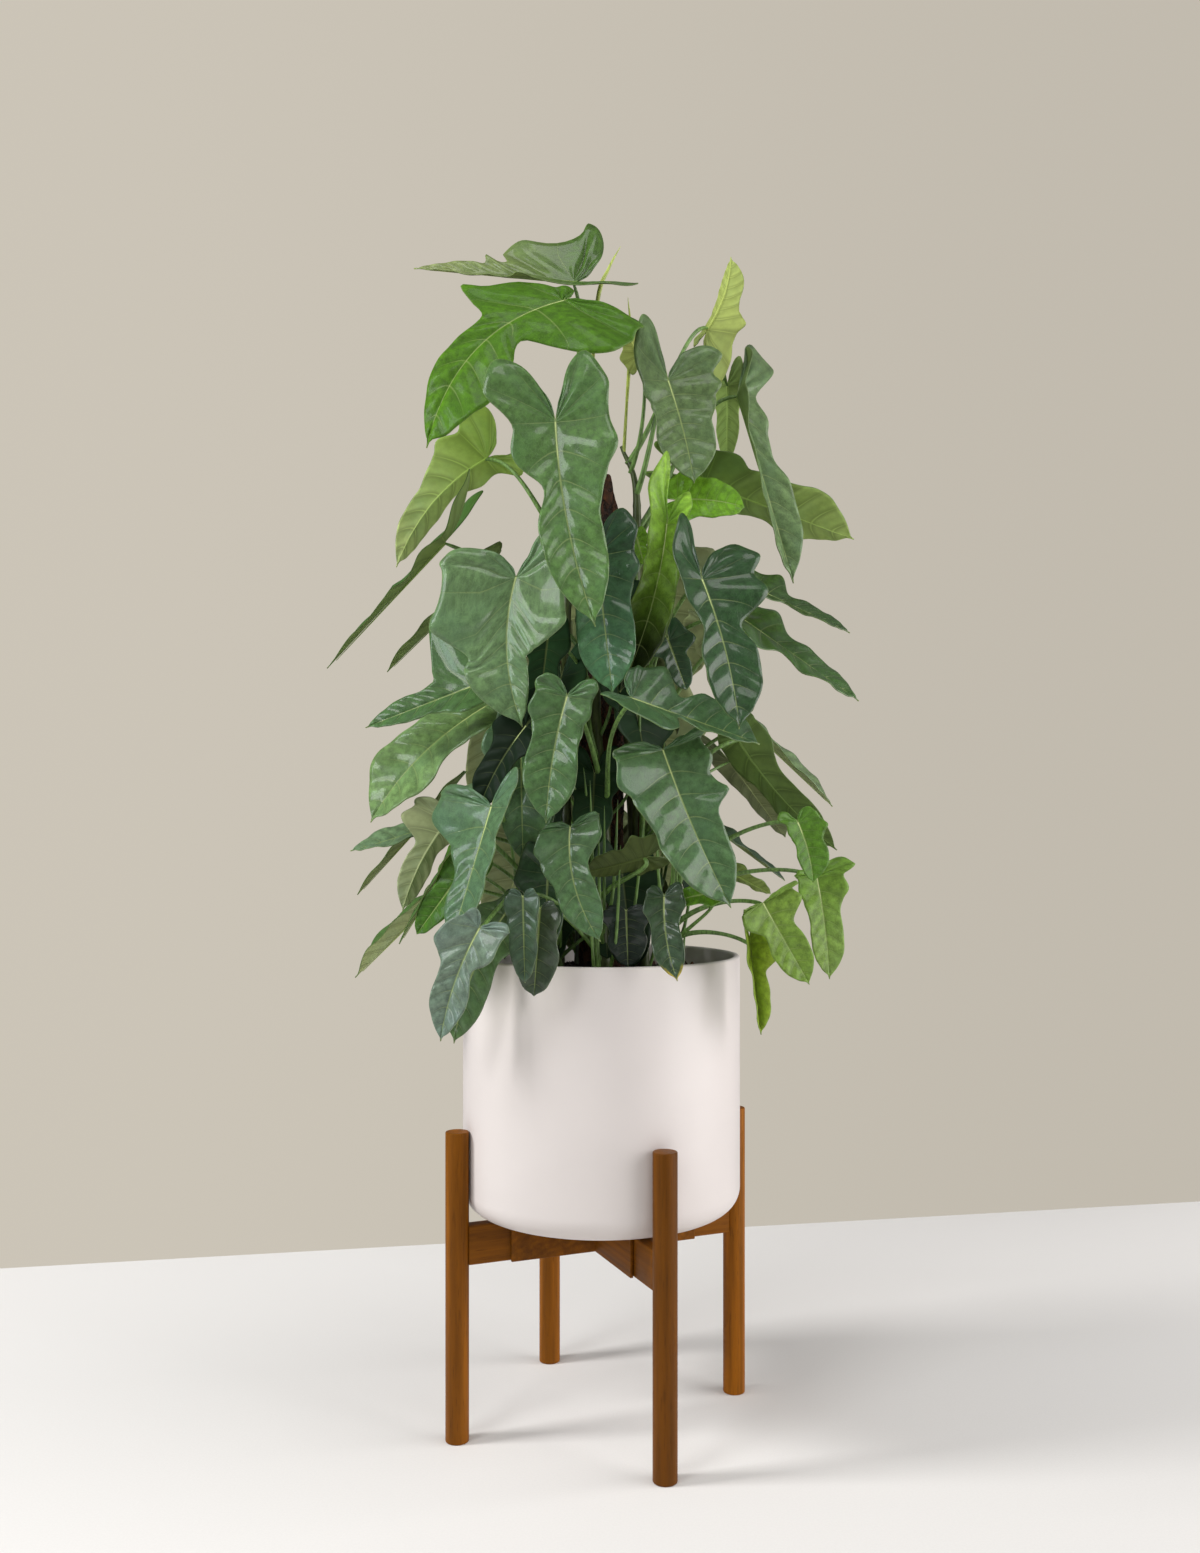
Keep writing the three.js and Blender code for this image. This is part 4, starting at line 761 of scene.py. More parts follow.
def stalk_finish(name, base):
    """Green stalk: long faint streaks and darker patches."""
    made = Finish(name)
    place = made.place()
    streaks = made.noise(made.mapped(place, Scale=(1.0, 1.0, 0.12)), 420.0, 3.0)
    green = made.shades(streaks, 0.35, 0.65, base, 0.7, 1.35)
    green = made.stained(green, made.noise(place, 45.0, 3.0), 0.5, 0.75, 0.5, tinted(base, 0.55))
    return made.end(Base_Color=green, Roughness=made.ramp(streaks, 0.3, 0.7, 0.34, 0.5),
                    Normal=made.bump(streaks, 0.25, 0.0005))


def bark_finish(name, base):
    """Bark: reddish chips with dark cracks and a fine grain."""
    made = Finish(name)
    place = made.place()
    warped = made.add("VectorMath", [("operation", "MULTIPLY_ADD")])
    for socket, value in zip(warped.inputs, (made.noise(place, 110.0, 3.0, 0.5, "Color"),
                                             (0.02, 0.02, 0.02), place)):
        made.feed(socket, value)
    crack = made.ramp(made.cells(made.mapped(warped.outputs[0], Scale=(1.0, 1.0, 0.4)), 75.0), 0.0, 0.16)
    grain = made.noise(made.mapped(place, Scale=(1.0, 1.0, 0.2)), 320.0, 6.0, 0.7)
    brown = made.shades(grain, 0.3, 0.7, base, 0.45, 1.7)
    brown = made.stained(brown, made.noise(place, 40.0, 3.0), 0.45, 0.7, 0.7, tinted(base, 0.35))
    brown = made.mix(crack, tinted(base, 0.15), brown)
    return made.end(Base_Color=brown, Roughness=made.ramp(grain, 0.3, 0.7, 0.78, 0.98),
                    Normal=made.bump(made.heights((crack, 0.8), (grain, 1.0)), 0.8, 0.003))


def soil_finish(name, base):
    """Moist potting soil: dark crumbs with lighter fibres."""
    made = Finish(name)
    place = made.place()
    coarse = made.noise(place, 160.0, 5.0, 0.7)
    fine = made.noise(place, 900.0, 3.0, 0.7)
    brown = made.shades(coarse, 0.35, 0.7, base, 0.35, 1.8)
    brown = made.stained(brown, fine, 0.62, 0.78, 0.6, tinted(base, 4.5))
    return made.end(Base_Color=brown, Roughness=made.ramp(fine, 0.3, 0.7, 0.75, 1.0),
                    Normal=made.bump(made.heights((coarse, 1.0), (fine, 0.5)), 0.9, 0.004))


def glaze_finish(name, base):
    """Satin glaze: nearly even, with a faint cloudiness and the slightest orange peel."""
    made = Finish(name)
    place = made.place()
    cloud = made.noise(place, 6.0, 3.0)
    white = made.shades(cloud, 0.3, 0.7, base, 0.965, 1.02)
    white = made.stained(white, made.noise(place, 900.0, 2.0), 0.72, 0.8, 0.12, tinted(base, 0.7))
    return made.end(Base_Color=white, Roughness=made.ramp(cloud, 0.3, 0.7, 0.36, 0.44),
                    Normal=made.bump(made.noise(place, 240.0, 2.0), 0.06, 0.0006))


def wood_finish(name, light, dark, turn=None):
    """Stained wood under satin varnish: grain runs upwards, or level where a turn is given."""
    made = Finish(name)
    along = made.mapped(made.place(), Rotation=(0.0, 0.0, -(turn or 0.0)))
    along = made.mapped(along, Scale=(1.0, 1.0, 0.045) if turn is None else (0.045, 1.0, 1.0))
    figure = made.noise(along, 75.0, 4.0, 0.6)
    rings = made.add("TexWave", [("wave_type", "RINGS")], Vector=along, Scale=42.0, Distortion=5.0,
                     Detail=3.0, Detail_Scale=1.4)
    pores = made.noise(along, 900.0, 3.0, 0.6)
    brown = made.shades(figure, 0.3, 0.72, light, 0.7, 1.3)
    brown = made.stained(brown, rings.outputs["Fac"], 0.25, 0.95, 0.24, dark)
    brown = made.stained(brown, pores, 0.56, 0.72, 0.5, tinted(dark, 0.7))
    relief = made.heights((figure, 0.5), (made.ramp(pores, 0.5, 0.75), -1.0))
    return made.end(Base_Color=brown, Roughness=made.ramp(figure, 0.3, 0.7, 0.4, 0.55),
                    Normal=made.bump(relief, 0.3, 0.0006), Specular_IOR_Level=0.12)


def stage_finish(name, base):
    """Matte studio floor, with painted light that makes it a little lighter towards the back."""
    made = Finish(name)
    place = made.place()
    dust = made.noise(place, 420.0, 3.0)
    pale = made.shades(dust, 0.3, 0.7, base, 0.985, 1.01)
    # Painted light: the floor gets lighter towards the back
    pale = made.stained(pale, made.parts(place)["Y"], -0.2, 0.8, 1.0, tinted(base, 1.12))
    return made.end(Base_Color=pale, Roughness=0.9, Normal=made.bump(dust, 0.08, 0.0006))


def backdrop_finish(name, base):
    """Glowing backdrop behind the set, with painted shade that makes it a little darker to the right."""
    made = Finish(name)
    # Painted shade: the glow dims towards the right
    glow_with_shade = made.shades(made.parts(made.place())["X"], -4.0, 4.0, base, 1.04, 0.93)
    return made.end(Base_Color=(0.0, 0.0, 0.0), Roughness=1.0, Specular_IOR_Level=0.0,
                    Emission_Color=glow_with_shade, Emission_Strength=1.0)


def eased(v, stations, values):
    """Values between stations, without a corner at any of them."""
    place = np.interp(v, stations, np.arange(len(stations)))
    part = place % 1
    return np.interp(np.floor(place) + part * part * (3 - 2 * part), np.arange(len(stations)), values)


def side_value(shape, key, side, usual):
    """A shape value of the left half of the blade, side -1, or of the right half, side 1."""
    value = shape.get(key, usual)
    return value[side > 0] if isinstance(value, tuple) else value


def near_edge(width):
    """0 at the midrib and 1 towards the edge, where the blade is soft."""
    return np.minimum(1, width / EDGE_REACH)


class Leaf:
    """One leaf of the table, with the plane that its blade lies in."""

    def __init__(self, row, number):
        self.name, self.stem, self.root_height, base, tip, facing, self.tone, self.shape = row
        self.small = self.name.startswith(("small", "back", "inner"))
        self.inner = self.name.startswith(("back", "inner"))
        self.base = np.array(base, float)
        self.along = unit(np.array(tip, float) - self.base)
        self.length = np.linalg.norm(np.array(tip, float) - self.base)
        facing = np.array(facing, float)
        self.up = unit(facing - facing @ self.along * self.along)
        self.across = np.cross(self.up, self.along)
        self.chance = np.random.default_rng(number + 40)

    def width_at(self, side, v):
        """Width of the basal lobes, side lobes, waist and body along the midrib."""
        lobe, ear, body = (side_value(self.shape, key, side, 1) for key in ("lobe", "ear", "body"))
        waist = side_value(self.shape, "waist", side, body)
        spike = side_value(self.shape, "spike", side, 0)
        spike = spike * np.exp(-((v - self.shape.get("at", 0.4)) / 0.05) ** 2)
        return eased(v, [-0.2, 0.05, 0.2, 0.33, 0.5], [lobe, ear, ear, waist, body]) + spike

    def points(self, side, u, v):
        """Points of the blade: u across and v along, both as parts of the length."""
        shape = self.shape
        fold = math.radians(side_value(shape, "fold", side, 12))
        wide = u * self.width_at(side, v)
        edge = near_edge(wide)
        ripple = shape.get("wave", 0.012) * np.sin(19 * v + 2.1 * side + 3) * edge
        rise = (np.sqrt(wide ** 2 + CREASE ** 2) - CREASE) * math.sin(fold) + ripple
        out = side * (wide * math.cos(fold) + np.maximum(-v, 0) * side_value(shape, "lean", side, 0))
        turn = math.radians(shape.get("twist", 0)) * v
        x = out * np.cos(turn) - rise * np.sin(turn)
        y = out * np.sin(turn) + rise * np.cos(turn)
        reach = np.where(v < 0, v * side_value(shape, "back", side, 1), v)
        slip = side_value(shape, "slip", side, 0)
        reach = reach + slip * edge * eased(v, [-0.1, 0.1, 0.3, 0.7], [0, 1, 1, 0])
        bow = 4 * reach * (1 - reach)
        raised = np.where(v < 0, side_value(shape, "lift", side, 0) * v * v * 10, 0)
        x = x + shape.get("bend", 0) * np.maximum(bow, -0.6)
        y = y + shape.get("arch", 0) * np.maximum(bow, -1.2) + raised
        steps = np.stack([reach, x, y], axis=-1) * self.length
        return self.base + steps @ np.stack([self.along, self.across, self.up])

    def normals(self, side, u, v):
        """Unit normals of the blade's upper face."""
        inwards = np.maximum(u - NORMAL_STEP, 0)
        across = self.points(side, u + NORMAL_STEP, v) - self.points(side, inwards, v)
        along = self.points(side, u, v + NORMAL_STEP) - self.points(side, u, v - NORMAL_STEP)
        normal = np.cross(along, across) * side
        return normal / np.maximum(np.linalg.norm(normal, axis=-1, keepdims=True), 1e-9)


def inner_rows():
    """Rows of the shaded leaves: seven low ones behind the rim, and sixteen up the pole."""
    chance = np.random.default_rng(23)
    climbers = [name for name in STEMS if name.startswith("stem")]
    rows = []

    def add(name, stem, root_height, base, outward, reach, drops, shape):
        """One row, for a leaf that hangs outwards and down from its base."""
        tip = base + outward * reach - (0, 0, chance.uniform(*drops))
        facing = outward * 0.9 + (0, 0, 0.35)
        rows.append([name, stem, root_height, base, tip, facing, "shaded", shape])

    for number in range(7):
        outward = heading(math.radians(75 + 33 * number))
        base = outward * chance.uniform(80, 95) + (0, 0, chance.uniform(535, 560))
        stem = "shoot_back" if outward[1] > 0 else "shoot_left"
        add("inner_low_%d" % number, stem, 500, base, outward, 22, (38, 48), {"body": 1.2})
    for number in range(16):
        outward = heading(math.radians(GOLDEN_ANGLE * number + 20))
        height = 560 + 21 * number
        base = outward * chance.uniform(52, 72) + (0, 0, height)
        stem = max(climbers, key=lambda name: np.array(STEMS[name][0]) @ outward)
        add("inner_%d" % number, stem, height - 80, base, outward, 26, (75, 105), {})
    return rows


def on_stem(name, height):
    """The point of a stem at a height."""
    points = np.array(STEMS[name], float)
    return np.array([np.interp(height, points[:, 2], points[:, axis]) for axis in range(3)])


def half_outline(stations, rows):
    """Edge across, edge along, foot on the midrib and vein count, at even steps along the edge."""
    knots = np.array([[0, 0, 0]] + stations + [[0, 1, 1]], float)
    dense = curve_through(knots, OUTLINE_STEPS)
    steps = np.hypot(np.diff(dense[:, 0]), np.diff(dense[:, 1]))
    reach = np.concatenate([[0], np.cumsum(steps)])
    basal = sum(1 for station in stations if station[2] == 0)
    front = reach[basal * OUTLINE_STEPS]
    even = np.linspace(0, reach[-1], rows + 1)
    across, along, foot = (np.interp(even, reach, dense[:, k]) for k in range(3))
    foot = np.where(even <= front, 0, np.clip(foot, 0, 1))
    across = np.maximum(across, 0)
    veins = np.where(even <= front, BASAL_VEINS * even / front, BASAL_VEINS + FRONT_VEINS * foot)
    return across, along, foot, veins


def shape_blade(piece, leaf, sizes, rows):
    """Bends a flat grid into the blade: columns go from edge to edge, rows from sinus to tip."""
    flat = points_of(piece)
    side_of = np.where(flat[:, 0] < 0, 1, -1)
    outwards = np.abs(flat[:, 0]) ** 1.3
    station = (flat[:, 1] + 1) / 2 * rows
    outline = half_outline(YOUNG_FIDDLE if leaf.small else FIDDLE, rows)
    across, along, foot, veins = (np.interp(station, np.arange(rows + 1), part) for part in outline)
    u = across * outwards
    v = foot + (along - foot) * outwards ** np.where(foot > 0, 1.6, 1.0)
    phases = leaf.chance.uniform(0, 2 * math.pi, 4)
    placed = np.empty_like(flat)
    plan = np.empty((len(flat), 2))
    for side in (1, -1):
        here = side_of == side
        u_half, v_half = u[here], v[here]
        width = u_half * leaf.width_at(side, v_half)
        edge = near_edge(width)
        quilt = 0.5 - 0.5 * np.cos(2 * math.pi * veins[here])
        swell = np.interp(outwards[here], [0, 0.35, 0.8, 1], [0, 1, 0.85, 0.35])
        relief = sizes.quilting * (quilt - 0.35) * swell
        relief += sizes.waviness * edge ** 2 * np.sin(8 * v_half + phases[0] + 1.7 * side)
        relief += 0.45 * sizes.waviness * edge ** 2 * np.sin(17 * v_half + phases[1] + phases[2] * side)
        relief -= 0.006 * np.exp(-(width / 0.014) ** 2)
        relief *= leaf.shape.get("calm", 1.0) * leaf.length
        normals = leaf.normals(side, u_half, v_half)
        placed[here] = leaf.points(side, u_half, v_half) + normals * relief[:, None]
        plan[here] = np.stack([side * width, v_half], axis=-1) * leaf.length / 1000
    set_points(piece, in_frame(placed))
    write_uv(piece, "veins", np.stack([outwards, veins / VEIN_SCALE], axis=-1))
    write_uv(piece, "plan", plan)


def write_uv(piece, name, values):
    """Writes a UV map from one pair of numbers for each vertex."""
    mesh = piece.data
    layer = mesh.uv_layers.get(name) or mesh.uv_layers.new(name=name)
    corners = np.empty(len(mesh.loops), int)
    mesh.loops.foreach_get("vertex_index", corners)
    layer.data.foreach_set("uv", np.ascontiguousarray(values[corners]).ravel())


def petiole_path(leaf, steps):
    """The petiole leaves its stem upwards and comes to the blade from behind."""
    shape = leaf.shape
    root = on_stem(leaf.stem, leaf.root_height)
    reach = leaf.base - root
    span = np.linalg.norm(reach)
    outward = heading(math.atan2(reach[1], reach[0]) + math.radians(shape.get("swing", 0)))
    rise = shape.get("rise", 0.8)
    start = unit(outward * (1 - 0.5 * rise) + np.array([0, 0, rise]))
    end = unit(leaf.up * 0.8 + leaf.along * 0.35)
    seat = leaf.base + leaf.along * 1.5 - leaf.up * 1.6
    corners = [root, root + start * span * shape.get("sway", 0.38),
               seat - end * span * shape.get("hook", 0.33), seat]
    t = np.linspace(0, 1, steps + 1)[:, None]
    return ((1 - t) ** 3 * corners[0] + 3 * (1 - t) ** 2 * t * corners[1]
            + 3 * (1 - t) * t ** 2 * corners[2] + t ** 3 * corners[3])


def build_blade(name, leaf, sizes, upper, under):
    """The blade: a flat grid that is bent to the leaf's form and given its thickness."""
    rows = sizes.rows * (6 if leaf.small else 10) // 10
    columns = sizes.columns * (7 if leaf.small else 10) // 10
    deselect()
    bpy.ops.mesh.primitive_grid_add(x_subdivisions=2 * columns, y_subdivisions=rows, size=2)
    blade = new_primitive(name)
    shape_blade(blade, leaf, sizes, rows)
    for layer in [one for one in blade.data.uv_layers if one.name not in ("veins", "plan")]:
        blade.data.uv_layers.remove(layer)
    bpy.ops.object.mode_set(mode="EDIT")
    bpy.ops.mesh.select_all(action="SELECT")
    bpy.ops.mesh.remove_doubles(threshold=1e-6)
    leave_edit()
    painted(blade, upper, under)
    apply_modifier(blade, "SOLIDIFY", thickness=sizes.blade, offset=0.0, material_offset=1,
                   material_offset_rim=0)
    smooth(blade)
    return blade


def paint_tint_and_light(piece, leaf):
    """Writes how the leaf's colours differ from its finish, above, beneath and towards the tip: its own hue
    with painted light and shade.
    """
    tint = piece.data.attributes.new("tint", "FLOAT_VECTOR", "POINT")
    above = np.array(leaf.shape.get("tint", [1, 1, 1])) * leaf.chance.uniform(0.94, 1.06)
    values = np.tile(above, (len(piece.data.vertices), 1))
    beneath = [corner for face in piece.data.polygons if face.material_index == 1
               for corner in face.vertices]
    # Painted shade: unless a row says otherwise, the leaves behind are half as bright beneath
    values[beneath] = leaf.shape.get("beneath", 0.5 if leaf.inner else 1.0)
    # The fade grades the colour from base to tip, partly as painted light and shade
    reach = (points_of(piece) - in_frame(leaf.base)) @ leaf.along * 1000 / leaf.length
    fade = np.array(leaf.shape.get("fade", 1.0))
    values *= np.maximum(1 + (fade - 1) * np.clip(reach, 0, 1)[:, None], 0.06)
    tint.data.foreach_set("vector", values.ravel())


def build_leaf(leaf, sizes, finishes, node):
    """Blade, petiole and midrib of one leaf, joined."""
    name = leaf.name if leaf.small else scene_name(leaf.name)
    upper, under = finishes[leaf.shape.get("look", leaf.tone)]
    blade = build_blade(name, leaf, sizes, upper, under)
    thick = sizes.small_petiole if leaf.small else sizes.petiole
    path = petiole_path(leaf, 18)
    # A petiole is thick where it leaves the stem, and thins out under the blade
    t = np.linspace(0, 1, len(path))
    radii = thick * (1.25 - 0.45 * np.minimum(1, 1.6 * t) - 0.3 * np.exp(-((t - 1) / 0.04) ** 2))
    petiole = painted(add_tube("petiole", in_frame(path), radii), finishes["stalk"])
    # The midrib stands out beneath the blade, nearly as far as the tip
    v = np.linspace(0.0, 0.93, 14)
    zero = np.zeros_like(v)
    depth = 0.006 * leaf.length + 0.55
    line = leaf.points(1, zero, v) - leaf.normals(1, zero + NORMAL_STEP, v) * depth
    rib = painted(add_tube("midrib", in_frame(line), thick * (0.52 - 0.42 * v), 2), under)
    for key in ("veins", "plan"):
        write_uv(rib, key, np.zeros((len(rib.data.vertices), 2)))
    piece = join(name, [blade, petiole, rib])
    paint_tint_and_light(piece, leaf)
    finish_piece(piece, "leaf_dark" if leaf.tone == "shaded" else "leaf_" + leaf.tone, node)


def shared(make, name, *values, **settings):
    """A finish that several operators use, made by the first one that asks for it."""
    return bpy.data.materials.get(name) or make(name, *values, **settings)


def leaf_finishes(colours):
    """Upper and under face of each tone of leaf, and the stalk."""
    def leaf(name, base, **settings):
        return shared(leaf_finish, name, base, colours, **settings)

    under = leaf("leaf_underside", colours.under, gloss=0.0, under=True)
    uppers = {
        "mature": leaf("mature_leaf", colours.mature),
        "pale": leaf("mature_leaf", colours.mature),
        "thin": leaf("thin_leaf", colours.mature, gloss=0.1),
        "dark": leaf("dark_leaf", colours.dark),
        "shaded": leaf("shaded_leaf", tinted(colours.dark, 0.6), gloss=0.0),
        "fresh": leaf("fresh_leaf", colours.fresh, gloss=0.3),
        # Painted light: the grey-green leaves are a lighter copy of the mature green, in the window's light
        "grey": leaf("grey_leaf", colours.grey, gloss=0.6),
        "edged": leaf("edged_leaf", colours.edged, yellow_edge=True),
    }
    made = {tone: (upper, under) for tone, upper in uppers.items()}
    made["stalk"] = shared(stalk_finish, "green_stalk", colours.stalk)
    return made


class PLANT_OT_planter(bpy.types.Operator):
    """Turned white planter with a rounded rim and a rounded bottom edge"""

    bl_idname = "plant.planter"
    bl_label = "Planter"

    def execute(self, context):
        sizes = context.scene.planter_sizes
        low, high = POT_LOW.z, POT_HIGH.z + RIM_RISE
        radius = (POT_HIGH.x - POT_LOW.x) / 2
        inner, rim = radius - sizes.wall, sizes.wall * 0.36
        pot = add_cylinder("white_planter", 160, radius, low, high)
        select_faces(pot, lambda middle, normal: normal.z > 0.9)
        bpy.ops.mesh.inset(thickness=sizes.wall)
        bpy.ops.mesh.extrude_region_move(
            TRANSFORM_OT_translate={"value": (0, 0, low + sizes.floor - high)})
        leave_edit()
        for height, around, width, segments in (
                (low, radius, sizes.corner, 12), (low + sizes.floor, inner, sizes.corner - sizes.wall, 8),
                (high, radius, rim, 4), (high, inner, rim, 4)):
            round_edges(pot, on_circle(height, around), width, segments)
        smooth(pot, 35)
        painted(pot, glaze_finish("white_glaze", context.scene.set_colours.glaze))
        finish_piece(pot, "ceramic", "planter")
        return {"FINISHED"}


class PLANT_OT_soil(bpy.types.Operator):
    """Mound of potting soil with loose crumbs and chips on it"""

    bl_idname = "plant.soil"
    bl_label = "Soil"

    def execute(self, context):
        sizes = context.scene.planter_sizes
        colours = context.scene.set_colours
        radius = (POT_HIGH.x - POT_LOW.x) / 2 - sizes.wall - SOIL_GAP
        soil_look = soil_finish("potting_soil", colours.soil)
        bark_look = shared(bark_finish, "pole_bark", colours.bark)
        parts = [painted(self.mound(sizes, radius), soil_look)]
        deselect()
        bpy.ops.mesh.primitive_ico_sphere_add(subdivisions=1, radius=1.0)
        crumb = new_primitive("crumb")
        chance = np.random.default_rng(5)
        for look, count, span in ((soil_look, sizes.crumbs, (0.0015, 0.0042)),
                                  (bark_look, sizes.crumbs // 5, (0.003, 0.008))):
            parts.append(painted(self.scatter(crumb, count, span, sizes, radius, chance), look))
        bpy.data.objects.remove(crumb)
        finish_piece(join("potting_soil", parts), "soil", "soil")
        return {"FINISHED"}

    def mound(self, sizes, radius):
        """The soil itself, lumpy on top."""
        low = POT_LOW.z + sizes.floor + SOIL_BASE
        soil = add_cylinder("potting_soil", 96, radius, low, sizes.soil_edge)
        select_faces(soil, lambda middle, normal: normal.z > 0.9)
        rings = 30
        for _ in range(rings - 1):
            bpy.ops.mesh.inset(thickness=radius / rings)
        leave_edit()
        points = points_of(soil)
        out = np.hypot(points[:, 0] - POT_AXIS.x, points[:, 1] - POT_AXIS.y) / radius
        for i in np.flatnonzero((points[:, 2] > sizes.soil_edge - 1e-4) & (out < 0.995)):
            place = Vector(points[i])
            lumps = noise.fractal(place * 130, 0.8, 2.0, 4) + 0.5 * noise.noise(place * 45)
            points[i, 2] += sizes.soil_mound * (1 - out[i] ** 2) + 0.0022 * lumps
        set_points(soil, points)
        smooth(soil)
        return soil

    def scatter(self, crumb, count, span, sizes, radius, chance):
        """Squashed and turned copies of a crumb, strewn over the soil."""
        shape = points_of(crumb)
        faces = np.array([face.vertices[:] for face in crumb.data.polygons])
        every_point = []
        every_face = []
        for number in range(count):
            around = chance.uniform(0, 2 * math.pi)
            far = radius * math.sqrt(chance.uniform(0.03, 0.93))
            scale = chance.uniform(*span) * chance.uniform(0.45, 1.0, 3)
            lump = shape * scale * chance.uniform(0.75, 1.2, (len(shape), 1))
            spin = heading(chance.uniform(0, math.pi))
            turn = np.array([[spin[0], -spin[1], 0], [spin[1], spin[0], 0], [0, 0, 1]])
            lift = sizes.soil_edge + sizes.soil_mound * (1 - (far / radius) ** 2) + scale[2] * 0.35
            centre = (POT_AXIS.x + far * math.cos(around), POT_AXIS.y + far * math.sin(around), lift)
            every_point.append(lump @ turn.T + centre)
            every_face.append(faces + number * len(shape))
        mesh = bpy.data.meshes.new("crumbs")
        mesh.from_pydata(np.vstack(every_point), [], np.vstack(every_face).tolist())
        return add_object("crumbs", mesh)


class PLANT_OT_pole(bpy.types.Operator):
    """Climbing pole with a rough coat of bark chips and fibres"""

    bl_idname = "plant.pole"
    bl_label = "Bark pole"

    def execute(self, context):
        sizes = context.scene.planter_sizes
        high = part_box("climbing_pole")[1].z
        core = sizes.pole_radius - 0.001
        pole = add_cylinder("bark_pole", 72, core, sizes.soil_edge - POLE_SUNK, high)
        select_edges(pole, lambda first, last: abs(first.z - last.z) > 0.1)
        bpy.ops.mesh.subdivide(number_cuts=200)
        leave_edit()
        for end in (1, -1):
            select_faces(pole, lambda middle, normal, end=end: normal.z * end > 0.9)
            for _ in range(5):
                bpy.ops.mesh.inset(thickness=sizes.pole_radius / 6)
            leave_edit()
        noise.seed_set(BARK_SEED)
        points = points_of(pole)
        offset = points - (POT_AXIS.x, POT_AXIS.y, 0)
        out = np.hypot(offset[:, 0], offset[:, 1])
        for i, (x, y, z) in enumerate(offset):
            wander = noise.noise_vector(Vector((x, y, z)) * 60) * 0.008
            cell = (Vector((x, y, z * 0.4)) + wander) * 95
            distances, _ = noise.voronoi(cell)
            chip = min(distances[1] - distances[0], 0.5)
            rough = noise.fractal(Vector((x, y, z)) * 210, 0.7, 2.0, 3)
            push = CHIP_HEIGHT * chip + FIBRE_HEIGHT * rough - 0.0008
            if out[i] > 0.5 * sizes.pole_radius:
                points[i, :2] += offset[i, :2] / out[i] * push
            points[i, 2] += 0.0015 * rough
        near_top = np.clip((points[:, 2] - high + BROKEN_LENGTH) / BROKEN_LENGTH, 0, 1)
        broken = np.clip((offset[:, 0] - 0.003 + 0.3 * offset[:, 1]) / 0.01, 0, 1)
        points[:, 2] = np.minimum(points[:, 2] - BROKEN_DEPTH * near_top * broken, high)
        set_points(pole, points)
        smooth(pole, 40)
        painted(pole, shared(bark_finish, "pole_bark", context.scene.set_colours.bark))
        finish_piece(pole, "bark", "climbing_pole")
        return {"FINISHED"}


class PLANT_OT_stems(bpy.types.Operator):
    """Climbing stems and shoots with leaf scars, rolled leaves and aerial roots"""

    bl_idname = "plant.stems"
    bl_label = "Stems"

    def execute(self, context):
        sizes = context.scene.leaf_sizes
        colours = context.scene.leaf_colours
        stalk = shared(stalk_finish, "green_stalk", colours.stalk)
        stem_look = stalk_finish("climbing_stem", colours.stem)
        bark = shared(bark_finish, "pole_bark", context.scene.set_colours.bark)
        spear_look = stalk_finish("rolled_leaf", colours.spear)
        chance = np.random.default_rng(11)
        for name, knots in STEMS.items():
            radius = sizes.shoot if name.startswith("shoot") else sizes.stem
            path = curve_through(knots, 24)
            height = path[:, 2]
            climbed = (height - height[0]) / (height[-1] - height[0])
            taper = 1 - 0.25 * climbed - 0.45 * np.clip(7 * climbed - 6, 0, 1)
            spacing = 38 + 9 * chance.random()
            phase = ((height - height[0]) / spacing) % 1
            scar = 1 + 0.11 * np.exp(-((phase - 0.5) / 0.06) ** 2)
            parts = [painted(add_tube("stem", in_frame(path), radius * taper * scar, 5), stem_look)]
            lowest, highest = height[0] + 8, min(height[-1] - 40, 860)
            parts += self.young_growth(name, lowest, highest, chance, bark, stalk)
            for stem, root_height, points, thick in SPEARS:
                if stem == name:
                    line = curve_through([on_stem(name, root_height)] + points, 12)
                    thin = np.interp(np.linspace(0, 1, len(line)), [0, 0.3, 0.55, 0.9, 1],
                                     [0.9, 0.7, 1.0, 0.35, 0.08]) * thick / 1000
                    parts.append(painted(add_tube("spear", in_frame(line), thin, 4), spear_look))
            finish_piece(join(scene_name(name), parts), "stem", name)
        return {"FINISHED"}

    def young_growth(self, name, lowest, highest, chance, bark, stalk):
        """Thin shoots that rise from a stem, and an aerial root that hangs from every third place."""
        made = []
        for number in range(15):
            start = on_stem(name, np.interp(number, [0, 14], [lowest, highest]))
            outward = heading(math.atan2(start[1], start[0]) + chance.uniform(-1.3, 1.3))
            rooting = number % 3 == 2
            rise = -chance.uniform(30, 80) if rooting else chance.uniform(80, 170)
            reach = chance.uniform(3, 9) if rooting else chance.uniform(16, 46)
            line = curve_through([start, start + outward * reach * 0.7 + (0, 0, rise * 0.35),
                                  start + outward * reach + (0, 0, rise)], 8)
            thin = np.interp(np.linspace(0, 1, len(line)), [0, 0.75, 1], [1, 0.75, 0.12])
            shoot = add_tube("shoot", in_frame(line), thin * (0.0011 if rooting else 0.0021), 2)
            made.append(painted(shoot, bark if rooting else stalk))
        return made


class PLANT_OT_large_leaves(bpy.types.Operator):
    """Large leaves, each with its petiole"""

    bl_idname = "plant.large_leaves"
    bl_label = "Large leaves"

    def execute(self, context):
        finishes = leaf_finishes(context.scene.leaf_colours)
        for number, row in enumerate(LARGE_LEAVES):
            leaf = Leaf(row, number)
            build_leaf(leaf, context.scene.leaf_sizes, finishes, leaf.name)
        return {"FINISHED"}


